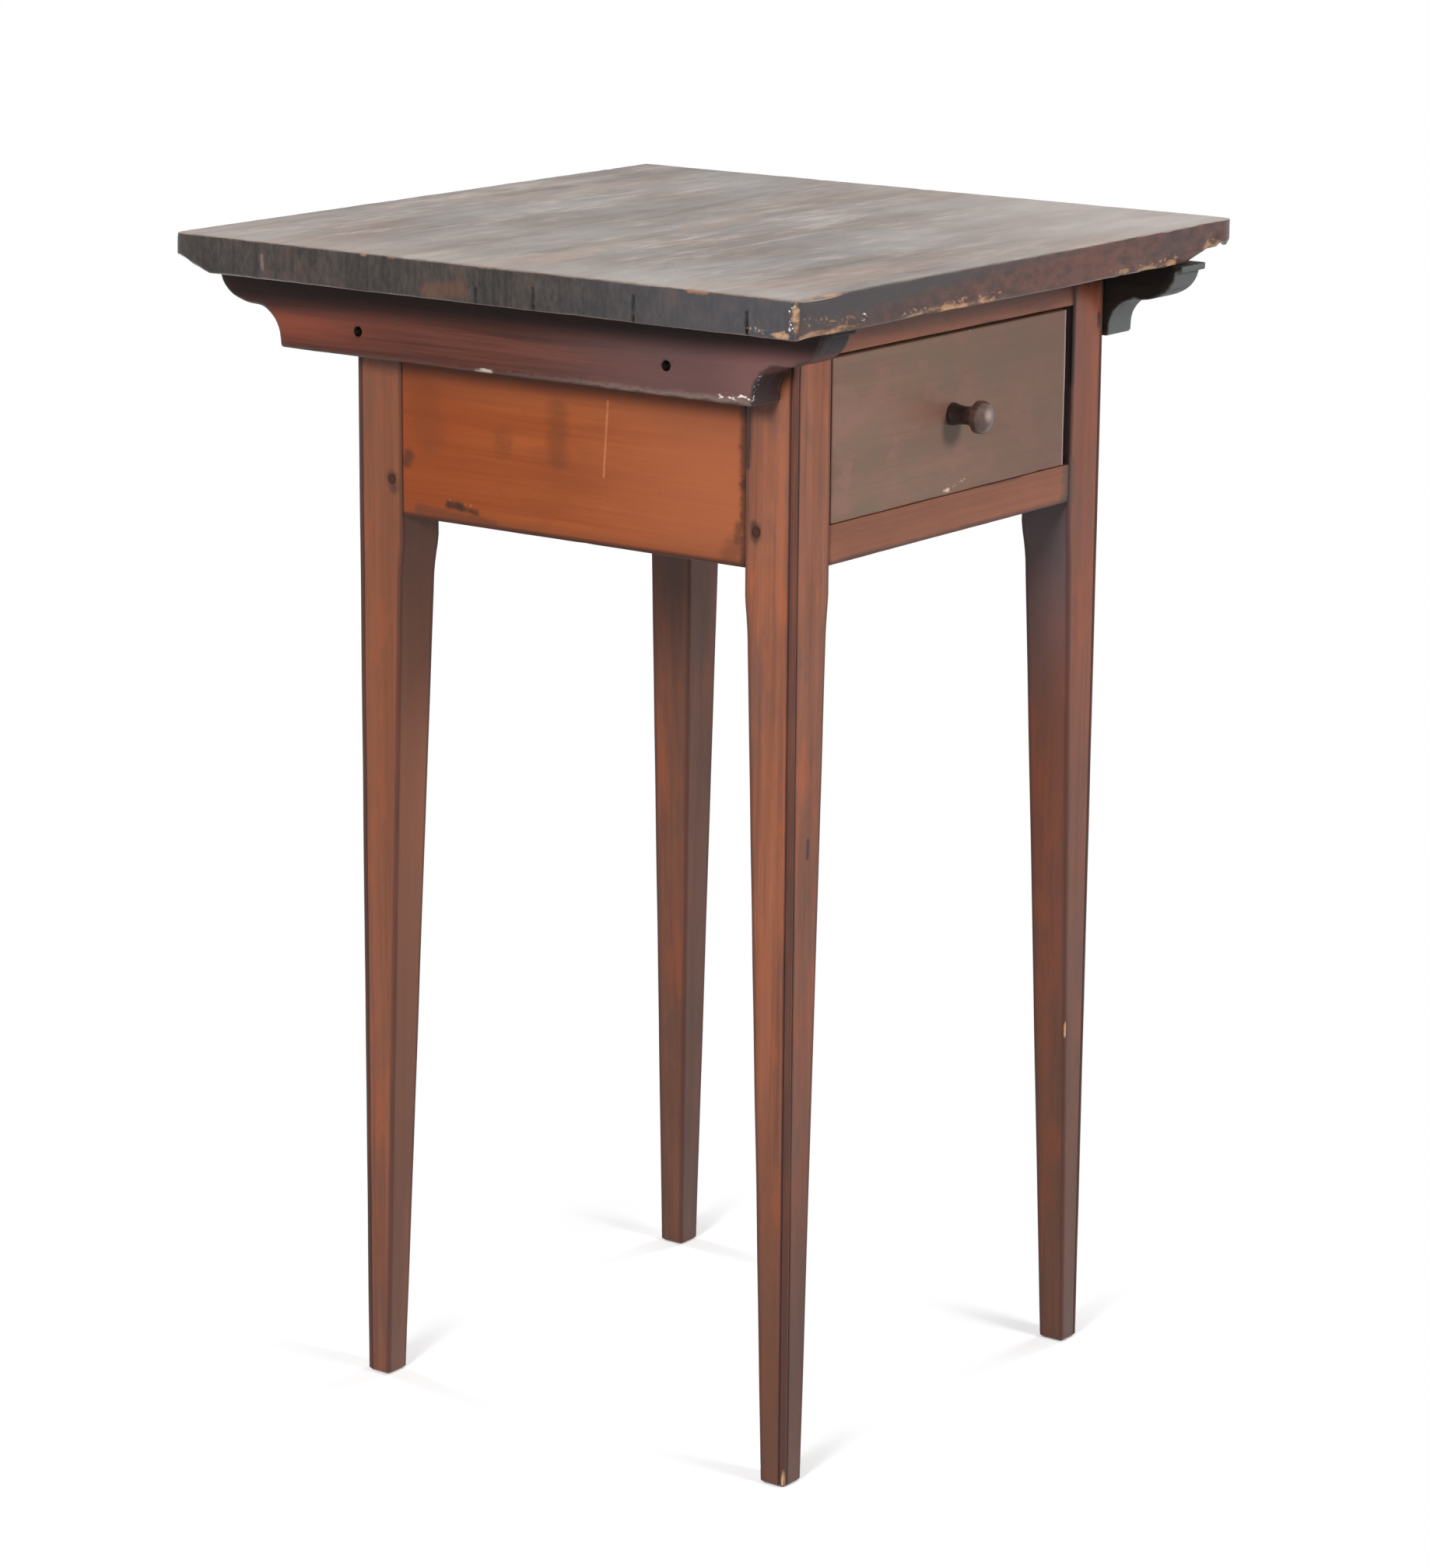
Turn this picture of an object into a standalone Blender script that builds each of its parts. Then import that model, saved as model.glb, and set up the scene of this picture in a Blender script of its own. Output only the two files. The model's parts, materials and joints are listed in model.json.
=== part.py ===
"""One-drawer stand: a square top on two scroll-ended cleats, four tapered legs and one dovetailed drawer.

Units are metres and +Z is up. The origin lies on the floor under the middle of the top, and the drawer
front faces -Y. Pieces of the frame are drawn about the frame's own middle, and pieces of the drawer from
the middle of its lower front edge; an empty carries each of the two groups to its place.
"""
import math

import bmesh
import bpy
from mathutils import Vector

# Clearances and facets
FIT = 0.0003                   # gap between faces that touch on the real stand
CUT_PAST = 0.001               # a cutting body runs this far past the face it opens
ARRIS_SEGMENTS = 2
SMOOTH_ANGLE = math.radians(30)   # faces that meet at less than this are shaded as one surface

# Top
STAND_HEIGHT = 0.724
TOP_WIDTH = 0.468              # along X, with the grain
TOP_DEPTH = 0.458              # along Y
TOP_THICKNESS = 0.0225
TOP_ARRIS = 0.0018             # worn round on the top's edges

# Frame
FRAME_WIDTH = 0.327            # over the legs, along X
FRAME_DEPTH = 0.325            # over the legs, along Y
FRAME_FORWARD = 0.017          # the frame stands this far forward of the top's middle
APRON_HEIGHT = 0.1465
APRON_THICKNESS = 0.022
APRON_INSET = 0.0005           # the aprons lie this far behind the legs' outer faces

# Legs
LEG_SIZE = 0.035
FOOT_SIZE = 0.0175
TAPER_DROP = 0.018             # the square block runs this far below the aprons
SHOULDER_HEIGHT = 0.030        # the hollow curve that leads into the straight taper
SHOULDER_CUT = 0.0022          # what that curve takes off the two inside faces
SHOULDER_STEPS = 5
FOOT_CHAMFER = 0.0015
BEAD_RADIUS = 0.0022           # bead along the outer corner of each leg
BEAD_END_ANGLE = math.radians(40)
BEAD_STEPS = 8
QUIRK_WIDTH = 0.0006

# Mortise and tenon joints
TENON_THICKNESS = 0.009
TENON_SETBACK = 0.009          # from a leg's outer face to the tenon's nearer cheek
SIDE_TENON_STOP = 0.013        # wood left in the leg past a side tenon's end
JOINT_WALL = 0.0025            # wood left in the leg between a side tenon and a joint that runs along X
TENON_SHOULDER_LOW = 0.008
TENON_SHOULDER_HIGH = 0.022
PEG_RADIUS = 0.0032
PEG_CROWN_RADIUS = 0.0022      # flat left on a peg's trimmed end
PEG_STOP = 0.008               # wood left in the leg past a peg's end
PEG_PROUD = 0.0006
PEG_PAST_MIDDLE = 0.00075      # the pegs lie this far outward of the middle of the joints along X
SIDE_PEG_LOW = 0.014           # from a side tenon's lower edge to its lower peg
SIDE_PEG_HIGH = 0.0202         # from a side tenon's upper edge to its upper peg
BACK_PEG_LOW = 0.026
BACK_PEG_HIGH = 0.0322
PEG_SIDES = 12

# Drawer rails
RAIL_SET_IN = 0.002            # the rails' back faces lie this far short of the legs' inside faces
LOWER_RAIL_HEIGHT = 0.0235
UPPER_RAIL_HEIGHT = 0.0245
RAIL_TENON_SHOULDER = 0.004
DOVETAIL_HEIGHT = 0.012
DOVETAIL_NECK = 0.013
DOVETAIL_END = 0.019
DOVETAIL_COVER = 0.0006        # the lap lies this far below the rail's upper face

# Runners, guides, kickers and stops
RUNNER_HEIGHT = 0.016
RUNNER_REACH = 0.018           # inward past the legs' inside faces
RUNNER_HOUSING = 0.008         # into the back of the lower rail
GUIDE_HEIGHT = 0.014
KICKER_REACH = 0.015
KICKER_CLEARANCE = 0.001
STOP_WIDTH = 0.024
STOP_SET_IN = 0.0017           # the stops end this far inside the lower rail's back edge
STOP_HEIGHT = 0.0035
STOP_SPACING = 0.130

# Cleats
CLEAT_THICKNESS = 0.028
CLEAT_HEIGHT = 0.0475
CLEAT_SHORT = 0.003            # the cleats are this much shorter than the top is deep
CLEAT_SET_BACK = {"left": 0.0085, "right": -0.0055}   # front tip behind the front edge of the shrunk top
SCROLL_LIP_HEIGHT = 0.0040
SCROLL_LIP_STEP = 0.0045
SCROLL_ROUND_RUN = 0.028
SCROLL_ROUND_RISE = 0.0190
SCROLL_COVE_RUN = 0.0195
SCROLL_FOOT_HEIGHT = 0.0040
SCROLL_STEPS = 9
CLEAT_ARRIS = 0.0022           # worn round on the lower outer edge

# Screws through the cleats
SCREW_RADIUS = 0.0021
SCREW_HEAD_RADIUS = 0.0030
SCREW_HEAD_HEIGHT = 0.0024
SCREW_POINT_LENGTH = 0.0063
SCREW_TIP_RADIUS = 0.0006
SCREW_SIDES = 12
CLEAT_SCREW_SINK = 0.006       # the head lies this far inside its hole
CLEAT_SCREW_BITE = 0.0075      # into the leg or apron
CLEAT_SCREW_RISE_FRONT = 0.0177   # above the cleat's lower edge
CLEAT_SCREW_RISE_BACK = 0.0155
CLEAT_SCREW_FROM_FRONT = 0.0704
CLEAT_SCREW_FROM_BACK = 0.0257
TOP_SCREW_SINK = 0.016
TOP_SCREW_BITE = 0.012         # into the top
TOP_SCREW_INSET = 0.105        # from the frame's front and back faces

# Drawer
DRAWER_GAP_LEFT = 0.0022
DRAWER_GAP_RIGHT = 0.0068      # the worn drawer sits over to the left
DRAWER_GAP_TOP = 0.0018
DRAWER_RECESS = 0.0010
DRAWER_SPACE_BEHIND = 0.0145   # between the closed drawer and the back apron
DRAWER_FRONT_THICKNESS = 0.020
DRAWER_SIDE_THICKNESS = 0.011
DRAWER_SIDE_DROP = 0.002       # the sides stop this far below the front's upper edge
DRAWER_BACK_THICKNESS = 0.012
DRAWER_BACK_DROP = 0.004
FRONT_TAIL_LENGTH = 0.0135
FRONT_TAILS = 3
BACK_TAILS = 2
TAIL_SHARE = 0.50              # width of a tail's root in its pitch
TAIL_SLOPE = 1 / 6
GROOVE_LOW = 0.008
GROOVE_WIDTH = 0.005
GROOVE_DEPTH = 0.0045
PANEL_THICKNESS = 0.008
PANEL_FIELD = 0.022            # width of the bevel under the panel's edges
PANEL_PLAY = 0.0005
NAIL_RADIUS = 0.0010
NAIL_HEAD_RADIUS = 0.0024
NAIL_HEAD_HEIGHT = 0.0009
NAIL_POINT_LENGTH = 0.004
NAIL_TIP_RADIUS = 0.0003
NAIL_BITE = 0.018
NAIL_INSET = 0.036             # from the drawer sides to the outer nails
NAIL_SIDES = 10

# Knob
KNOB_BASE_RADIUS = 0.0068
KNOB_NECK_RADIUS = 0.0047
KNOB_HEAD_RADIUS = 0.0106
KNOB_BASE_HEIGHT = 0.0016
KNOB_NECK_HEIGHT = 0.0165      # from the base to the head's widest line
KNOB_RIM = 0.0030
KNOB_DOME = 0.0050
KNOB_TENON_RADIUS = 0.0046
KNOB_FLARE_POWER = 2.0         # how late the neck opens into the head
KNOB_WAIST_POWER = 0.8         # how broad the hollow of the neck is
KNOB_SIDES = 28
KNOB_STEPS = 8

# Sizes that follow
UNDERSIDE = STAND_HEIGHT - TOP_THICKNESS
FRAME_TOP = UNDERSIDE - FIT
APRON_BOTTOM = UNDERSIDE - APRON_HEIGHT
HALF_WIDTH = FRAME_WIDTH / 2
HALF_DEPTH = FRAME_DEPTH / 2
LEG_INNER_X = HALF_WIDTH - LEG_SIZE
LEG_INNER_Y = HALF_DEPTH - LEG_SIZE
APRON_INNER = APRON_INSET + APRON_THICKNESS
SIDE_TENON_LENGTH = LEG_SIZE - SIDE_TENON_STOP
CROSS_JOINT_LENGTH = LEG_SIZE - TENON_SETBACK - TENON_THICKNESS - JOINT_WALL
CROSS_JOINT_MIDDLE = TENON_SETBACK + TENON_THICKNESS / 2
RAIL_DEPTH = LEG_SIZE - RAIL_SET_IN
PEG_LENGTH = LEG_SIZE - PEG_STOP
PEG_INSET = CROSS_JOINT_LENGTH / 2 + PEG_PAST_MIDDLE   # from a tenon's shoulder to its peg's axis
TENON_LOW = APRON_BOTTOM + TENON_SHOULDER_LOW
TENON_HIGH = FRAME_TOP - TENON_SHOULDER_HIGH
SIDE_PEG_HEIGHTS = {"lower": TENON_LOW + SIDE_PEG_LOW, "upper": TENON_HIGH - SIDE_PEG_HIGH}
BACK_PEG_HEIGHTS = {"lower": TENON_LOW + BACK_PEG_LOW, "upper": TENON_HIGH - BACK_PEG_HIGH}
RAIL_TOP = APRON_BOTTOM + LOWER_RAIL_HEIGHT
UPPER_RAIL_BOTTOM = FRAME_TOP - UPPER_RAIL_HEIGHT
DOVETAIL_TOP = FRAME_TOP - DOVETAIL_COVER
DOVETAIL_LOW = DOVETAIL_TOP - DOVETAIL_HEIGHT
CLEAT_TOP = UNDERSIDE - FIT
CLEAT_BOTTOM = UNDERSIDE - CLEAT_HEIGHT
CLEAT_LENGTH = TOP_DEPTH - CLEAT_SHORT
DRAWER_WIDTH = 2 * LEG_INNER_X - DRAWER_GAP_LEFT - DRAWER_GAP_RIGHT
DRAWER_HALF = DRAWER_WIDTH / 2
DRAWER_INNER = DRAWER_HALF - DRAWER_SIDE_THICKNESS
DRAWER_LENGTH = FRAME_DEPTH - DRAWER_RECESS - APRON_INNER - DRAWER_SPACE_BEHIND
DRAWER_FLOOR = RAIL_TOP + FIT
DRAWER_HEIGHT = UPPER_RAIL_BOTTOM - DRAWER_GAP_TOP - DRAWER_FLOOR
DRAWER_SIDE_HEIGHT = DRAWER_HEIGHT - DRAWER_SIDE_DROP
DRAWER_BACK_HEIGHT = DRAWER_HEIGHT - DRAWER_BACK_DROP
STOP_FRONT = DRAWER_RECESS + DRAWER_FRONT_THICKNESS + FIT
STOP_BACK = RAIL_DEPTH - STOP_SET_IN
NAIL_SPREAD = DRAWER_INNER - NAIL_INSET
NAIL_PLACES = {"left": -NAIL_SPREAD, "middle": 0.0, "right": NAIL_SPREAD}
GROOVE_HIGH = GROOVE_LOW + GROOVE_WIDTH
PANEL_TOP = GROOVE_HIGH - FIT
PANEL_EDGE_LOW = GROOVE_LOW + FIT
PANEL_LOW = PANEL_TOP - PANEL_THICKNESS
NAIL_LENGTH = NAIL_HEAD_HEIGHT + PANEL_THICKNESS + NAIL_BITE
DRAWER_BACK_LOW = PANEL_TOP + FIT
TAIL_ROOT_FRONT = DRAWER_FRONT_THICKNESS + FIT
TAIL_TIP_FRONT = DRAWER_FRONT_THICKNESS - FRONT_TAIL_LENGTH
TAIL_ROOT_BACK = DRAWER_LENGTH - DRAWER_BACK_THICKNESS - FIT

SIDES = {"left": -1, "right": 1}
ENDS = {"front": -1, "back": 1}


# Bodies

def loft(rings):
    """Closed body through rings of points; every ring has the same number of points."""
    body = bmesh.new()
    loops = [[body.verts.new(point) for point in ring] for ring in rings]
    count = len(rings[0])
    for near, far in zip(loops, loops[1:]):
        for i in range(count):
            j = (i + 1) % count
            body.faces.new((near[i], near[j], far[j], far[i]))
    body.faces.new(loops[0])
    body.faces.new(loops[-1])
    bmesh.ops.recalc_face_normals(body, faces=body.faces)
    return body


def prism(outline, axis, low, high):
    """Straight body: a flat outline carried along an axis from low to high."""
    def at(point, level):
        a, b = point
        return {"X": (level, a, b), "Y": (a, level, b), "Z": (a, b, level)}[axis]
    return loft([[at(point, level) for point in outline] for level in (low, high)])


def box(low, high):
    """Square-cornered body between two opposite corners."""
    (x0, y0, z0), (x1, y1, z1) = low, high
    return prism([(x0, y0), (x1, y0), (x1, y1), (x0, y1)], "Z", z0, z1)


def turned(profile, base, direction, sides):
    """Turned body: (distance, radius) pairs along a line that leaves base in a direction."""
    turn = Vector(direction).to_track_quat("Z", "Y").to_matrix()
    rings = []
    for distance, radius in profile:
        ring = []
        for i in range(sides):
            angle = 2 * math.pi * i / sides
            local = Vector((radius * math.cos(angle), radius * math.sin(angle), distance))
            ring.append(Vector(base) + turn @ local)
        rings.append(ring)
    return loft(rings)


def tenoned_bar(axis, board, tenon, shoulder, tip):
    """Bar along an axis with a tenon on each end; board and tenon are (low, high) corners across it."""
    def ring(section, level):
        (a0, z0), (a1, z1) = section
        corners = [(a0, z0), (a1, z0), (a1, z1), (a0, z1)]
        return [(level, a, z) if axis == "X" else (a, level, z) for a, z in corners]
    levels = [(tenon, -tip), (tenon, -shoulder), (board, -shoulder)]
    levels += [(board, shoulder), (tenon, shoulder), (tenon, tip)]
    return loft([ring(section, level) for section, level in levels])


def joined(bodies):
    """One mesh that holds several separate bodies."""
    whole = bmesh.new()
    for body in bodies:
        carrier = bpy.data.meshes.new("carrier")
        body.to_mesh(carrier)
        whole.from_mesh(carrier)
        body.free()
        bpy.data.meshes.remove(carrier)
    return whole


def soften(body, edges, width):
    """Round some edges of a body."""
    bmesh.ops.bevel(body, geom=edges, offset=width, segments=ARRIS_SEGMENTS, profile=0.5, affect="EDGES")


def edges_along(body, x, z):
    """Edges of a body that run along Y at a place across and a height."""
    def on_line(vert):
        return abs(vert.co.x - x) < FIT and abs(vert.co.z - z) < FIT
    return [edge for edge in body.edges if all(on_line(vert) for vert in edge.verts)]


# Scene objects

def empty(name, parent, location):
    """Empty that carries a group of pieces."""
    group = bpy.data.objects.new(name, None)
    bpy.context.scene.collection.objects.link(group)
    group.parent = parent
    group.location = location
    return group


def material(name, colour, roughness, metallic=0.0):
    """Principled material of one colour."""
    made = bpy.data.materials.new(name)
    made.use_nodes = True
    shader = made.node_tree.nodes["Principled BSDF"]
    shader.inputs["Base Color"].default_value = (*colour, 1.0)
    shader.inputs["Roughness"].default_value = roughness
    shader.inputs["Metallic"].default_value = metallic
    return made


def piece(name, body, finish, parent):
    """Named object made from a body."""
    mesh = bpy.data.meshes.new(name)
    body.to_mesh(mesh)
    body.free()
    mesh.shade_smooth()
    mesh.set_sharp_from_angle(angle=SMOOTH_ANGLE)
    mesh.materials.append(finish)
    made = bpy.data.objects.new(name, mesh)
    bpy.context.scene.collection.objects.link(made)
    made.parent = parent
    return made


def cut(target, name, bodies):
    """Take bodies that don't meet each other away from a piece."""
    tool = piece(f"{target.name}_{name}", joined(bodies), target.data.materials[0], target.parent)
    tool.hide_render = True
    tool.display_type = "WIRE"
    boolean = target.modifiers.new(name, "BOOLEAN")
    boolean.operation = "DIFFERENCE"
    boolean.solver = "EXACT"
    boolean.object = tool


# Places on the frame

def inward(side, end, u, v):
    """Frame point that lies u and v inside a leg's two outer faces."""
    return side * (HALF_WIDTH - u), end * (HALF_DEPTH - v)


def corner_box(side, end, u, v, z):
    """Box given by its ranges inward from a leg's outer faces and upward."""
    corners = [(u[0], v[0]), (u[1], v[0]), (u[1], v[1]), (u[0], v[1])]
    return prism([inward(side, end, *corner) for corner in corners], "Z", *z)


def side_peg_line(side, end, z):
    """Start and direction of a peg through a side apron's tenon; behind a cleat it is pared flush."""
    proud = PEG_PROUD if z + PEG_RADIUS + FIT < CLEAT_BOTTOM else 0.0
    x, y = inward(side, end, -proud, LEG_SIZE - PEG_INSET)
    return (x, y, z), (-side, 0, 0)


def back_peg_line(side, z):
    """Start and direction of a peg through a back leg and the back apron's tenon."""
    x, y = inward(side, ENDS["back"], LEG_SIZE - PEG_INSET, -PEG_PROUD)
    return (x, y, z), (0, -1, 0)


def peg_lines(side, end):
    """Every peg of one leg, as (name, start, direction)."""
    lines = []
    for place, z in SIDE_PEG_HEIGHTS.items():
        lines.append((f"side_{place}", *side_peg_line(side, end, z)))
    if end == ENDS["back"]:
        for place, z in BACK_PEG_HEIGHTS.items():
            lines.append((f"back_{place}", *back_peg_line(side, z)))
    return lines


def peg_bore(start, direction):
    """Cutting body for a peg's hole."""
    return turned([(-CUT_PAST, PEG_RADIUS + FIT), (PEG_LENGTH + FIT, PEG_RADIUS + FIT)],
                  start, direction, PEG_SIDES)


def cleat_screw_line(side, end):
    """Start and direction of a screw through a cleat into a leg or apron."""
    from_end, rise = CLEAT_SCREW_FROM_BACK, CLEAT_SCREW_RISE_BACK
    if end == ENDS["front"]:
        from_end, rise = CLEAT_SCREW_FROM_FRONT, CLEAT_SCREW_RISE_FRONT
    x, y = inward(side, end, -FIT - CLEAT_THICKNESS, from_end)
    return (x, y, CLEAT_BOTTOM + rise), (-side, 0, 0)


def top_screw_line(side, end):
    """Start and direction of a screw up through a cleat into the top."""
    x, y = inward(side, end, -FIT - CLEAT_THICKNESS / 2, TOP_SCREW_INSET)
    return (x, y, CLEAT_BOTTOM), (0, 0, 1)


# Legs

def leg_size(z):
    """Width of a leg at a height: square block, hollow shoulder, straight taper."""
    taper_top = APRON_BOTTOM - TAPER_DROP
    shoulder_low = taper_top - SHOULDER_HEIGHT
    if z >= taper_top:
        return LEG_SIZE
    straight_top = LEG_SIZE - SHOULDER_CUT
    if z >= shoulder_low:
        share = (taper_top - z) / SHOULDER_HEIGHT
        return LEG_SIZE - SHOULDER_CUT * math.sin(share * math.pi / 2)
    return FOOT_SIZE + (straight_top - FOOT_SIZE) * z / shoulder_low


def leg_section(size, shrink=0.0):
    """Outline of a leg, inward from its outer corner, which carries a bead between two quirks."""
    r = BEAD_RADIUS
    first = math.pi / 2 + BEAD_END_ANGLE
    last = 2 * math.pi - BEAD_END_ANGLE
    bead = []
    for i in range(BEAD_STEPS + 1):
        angle = first + (last - first) * i / BEAD_STEPS
        bead.append((r + r * math.cos(angle), r + r * math.sin(angle)))
    quirk = bead[0][1] + QUIRK_WIDTH
    outline = [(0, quirk)] + bead + [(quirk, 0), (size, 0), (size, size), (0, size)]
    middle = size / 2
    scale = (size - 2 * shrink) / size
    return [(middle + (u - middle) * scale, middle + (v - middle) * scale) for u, v in outline]


def leg_mortises(side, end):
    """Cutting bodies for the tenons that enter one leg."""
    cheeks = (TENON_SETBACK - FIT, TENON_SETBACK + TENON_THICKNESS + FIT)
    open_face = LEG_SIZE + CUT_PAST
    deep = LEG_SIZE - CROSS_JOINT_LENGTH - FIT
    height = (TENON_LOW - FIT, TENON_HIGH + FIT)
    bodies = [corner_box(side, end, cheeks, (LEG_SIZE - SIDE_TENON_LENGTH - FIT, open_face), height)]
    if end == ENDS["back"]:
        bodies.append(corner_box(side, end, (deep, open_face), cheeks, height))
        return bodies
    rail_height = (APRON_BOTTOM + RAIL_TENON_SHOULDER - FIT, RAIL_TOP - RAIL_TENON_SHOULDER + FIT)
    bodies.append(corner_box(side, end, (deep, open_face), cheeks, rail_height))
    root, tip = DOVETAIL_NECK / 2 + FIT, DOVETAIL_END / 2 + FIT
    plan = [(open_face, CROSS_JOINT_MIDDLE - root), (open_face, CROSS_JOINT_MIDDLE + root),
            (deep, CROSS_JOINT_MIDDLE + tip), (deep, CROSS_JOINT_MIDDLE - tip)]
    bodies.append(prism([inward(side, end, *point) for point in plan], "Z",
                        DOVETAIL_LOW - FIT, FRAME_TOP + CUT_PAST))
    return bodies


def make_legs(finish, parent):
    """Four legs, lofted from the foot up and cut for their tenons, pegs and cleat screws."""
    taper_top = APRON_BOTTOM - TAPER_DROP
    levels = [FOOT_CHAMFER]
    levels += [taper_top - SHOULDER_HEIGHT * (1 - i / SHOULDER_STEPS) for i in range(SHOULDER_STEPS + 1)]
    levels += [FRAME_TOP]
    for side_name, side in SIDES.items():
        for end_name, end in ENDS.items():
            foot = leg_section(leg_size(0.0), FOOT_CHAMFER)
            rings = [[(*inward(side, end, *point), 0.0) for point in foot]]
            for z in levels:
                rings.append([(*inward(side, end, *point), z) for point in leg_section(leg_size(z))])
            leg = piece(f"leg_{end_name}_{side_name}", loft(rings), finish, parent)
            cut(leg, "mortises", leg_mortises(side, end))
            bores = [peg_bore(start, direction) for _, start, direction in peg_lines(side, end)]
            if end == ENDS["back"]:
                line = cleat_screw_line(side, end)
                bores.append(screw_bore(line, CLEAT_THICKNESS + FIT, CLEAT_SCREW_BITE))
            cut(leg, "bores", bores)


def make_pegs(finish, parent):
    """Pegs through the tenons, each with a small crown on its two ends."""
    profile = [(0.0, PEG_CROWN_RADIUS), (PEG_PROUD, PEG_RADIUS),
               (PEG_LENGTH - PEG_PROUD, PEG_RADIUS), (PEG_LENGTH, PEG_CROWN_RADIUS)]
    for side_name, side in SIDES.items():
        for end_name, end in ENDS.items():
            for name, start, direction in peg_lines(side, end):
                piece(f"peg_{end_name}_{side_name}_{name}", turned(profile, start, direction, PEG_SIDES),
                      finish, parent)


# Aprons and rails

def make_side_aprons(finish, parent):
    """Side aprons with a tenon on each end, bored for two pegs an end and a cleat screw."""
    for side_name, side in SIDES.items():
        outer, inner = side * (HALF_WIDTH - APRON_INSET), side * (HALF_WIDTH - APRON_INNER)
        near = side * (HALF_WIDTH - TENON_SETBACK)
        far = side * (HALF_WIDTH - TENON_SETBACK - TENON_THICKNESS)
        board = ((outer, APRON_BOTTOM), (inner, FRAME_TOP))
        tenon = ((near, TENON_LOW), (far, TENON_HIGH))
        bar = tenoned_bar("Y", board, tenon, LEG_INNER_Y - FIT, LEG_INNER_Y + SIDE_TENON_LENGTH)
        apron = piece(f"apron_{side_name}", bar, finish, parent)
        bores = []
        for end in ENDS.values():
            bores += [peg_bore(*side_peg_line(side, end, z)) for z in SIDE_PEG_HEIGHTS.values()]
        line = cleat_screw_line(side, ENDS["front"])
        bores.append(screw_bore(line, CLEAT_THICKNESS + FIT, CLEAT_SCREW_BITE))
        cut(apron, "bores", bores)


def make_back_apron(finish, parent):
    """Back apron with a tenon on each end, bored for two pegs an end."""
    near, far = HALF_DEPTH - TENON_SETBACK, HALF_DEPTH - TENON_SETBACK - TENON_THICKNESS
    board = ((HALF_DEPTH - APRON_INSET, APRON_BOTTOM), (HALF_DEPTH - APRON_INNER, FRAME_TOP))
    tenon = ((near, TENON_LOW), (far, TENON_HIGH))
    bar = tenoned_bar("X", board, tenon, LEG_INNER_X - FIT, LEG_INNER_X + CROSS_JOINT_LENGTH)
    apron = piece("apron_back", bar, finish, parent)
    bores = []
    for side in SIDES.values():
        bores += [peg_bore(*back_peg_line(side, z)) for z in BACK_PEG_HEIGHTS.values()]
    cut(apron, "bores", bores)


def make_lower_rail(finish, parent):
    """Lower drawer rail, tenoned into the legs and housed behind for the runners."""
    front = -HALF_DEPTH + APRON_INSET
    board = ((front, APRON_BOTTOM), (-HALF_DEPTH + RAIL_DEPTH, RAIL_TOP))
    tenon = ((-HALF_DEPTH + TENON_SETBACK, APRON_BOTTOM + RAIL_TENON_SHOULDER),
             (-HALF_DEPTH + TENON_SETBACK + TENON_THICKNESS, RAIL_TOP - RAIL_TENON_SHOULDER))
    bar = tenoned_bar("X", board, tenon, LEG_INNER_X - FIT, LEG_INNER_X + CROSS_JOINT_LENGTH)
    rail = piece("rail_lower", bar, finish, parent)
    u = (LEG_SIZE - CUT_PAST, LEG_SIZE + RUNNER_REACH + FIT)
    v = (RAIL_DEPTH - RUNNER_HOUSING - FIT, RAIL_DEPTH + CUT_PAST)
    height = (RAIL_TOP - RUNNER_HEIGHT - FIT, RAIL_TOP + CUT_PAST)
    cut(rail, "housings", [corner_box(side, ENDS["front"], u, v, height) for side in SIDES.values()])


def make_upper_rail(finish, parent):
    """Upper drawer rail, dovetailed down into the tops of the front legs."""
    middle = -HALF_DEPTH + CROSS_JOINT_MIDDLE
    board = (-HALF_DEPTH + APRON_INSET, -HALF_DEPTH + RAIL_DEPTH, UPPER_RAIL_BOTTOM, FRAME_TOP)
    neck = (middle - DOVETAIL_NECK / 2, middle + DOVETAIL_NECK / 2, DOVETAIL_LOW, DOVETAIL_TOP)
    end = (middle - DOVETAIL_END / 2, middle + DOVETAIL_END / 2, DOVETAIL_LOW, DOVETAIL_TOP)
    shoulder = LEG_INNER_X - FIT
    tip = LEG_INNER_X + CROSS_JOINT_LENGTH
    rings = []
    for (y0, y1, z0, z1), x in ((end, -tip), (neck, -shoulder), (board, -shoulder),
                                (board, shoulder), (neck, shoulder), (end, tip)):
        rings.append([(x, y0, z0), (x, y1, z0), (x, y1, z1), (x, y0, z1)])
    piece("rail_upper", loft(rings), finish, parent)


# Runners, guides, kickers and stops

def side_strip(side, inner_u, low, high):
    """Strip along a side apron's inside face, between the legs."""
    between_legs = LEG_INNER_Y - FIT
    return box((side * (HALF_WIDTH - APRON_INNER - FIT), -between_legs, low),
               (side * (HALF_WIDTH - inner_u), between_legs, high))


def runner_plan(side):
    """Outline of a runner seen from above: notched round both legs and housed in the lower rail."""
    wall, past_leg, reach = APRON_INNER + FIT, LEG_SIZE + FIT, LEG_SIZE + RUNNER_REACH
    between_legs = LEG_INNER_Y - FIT
    housed = -HALF_DEPTH + RAIL_DEPTH - RUNNER_HOUSING
    back_wall = HALF_DEPTH - APRON_INNER - FIT
    plan = [(wall, -between_legs), (past_leg, -between_legs), (past_leg, housed), (reach, housed),
            (reach, back_wall), (past_leg, back_wall), (past_leg, between_legs), (wall, between_legs)]
    return [(side * (HALF_WIDTH - u), y) for u, y in plan]


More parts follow.
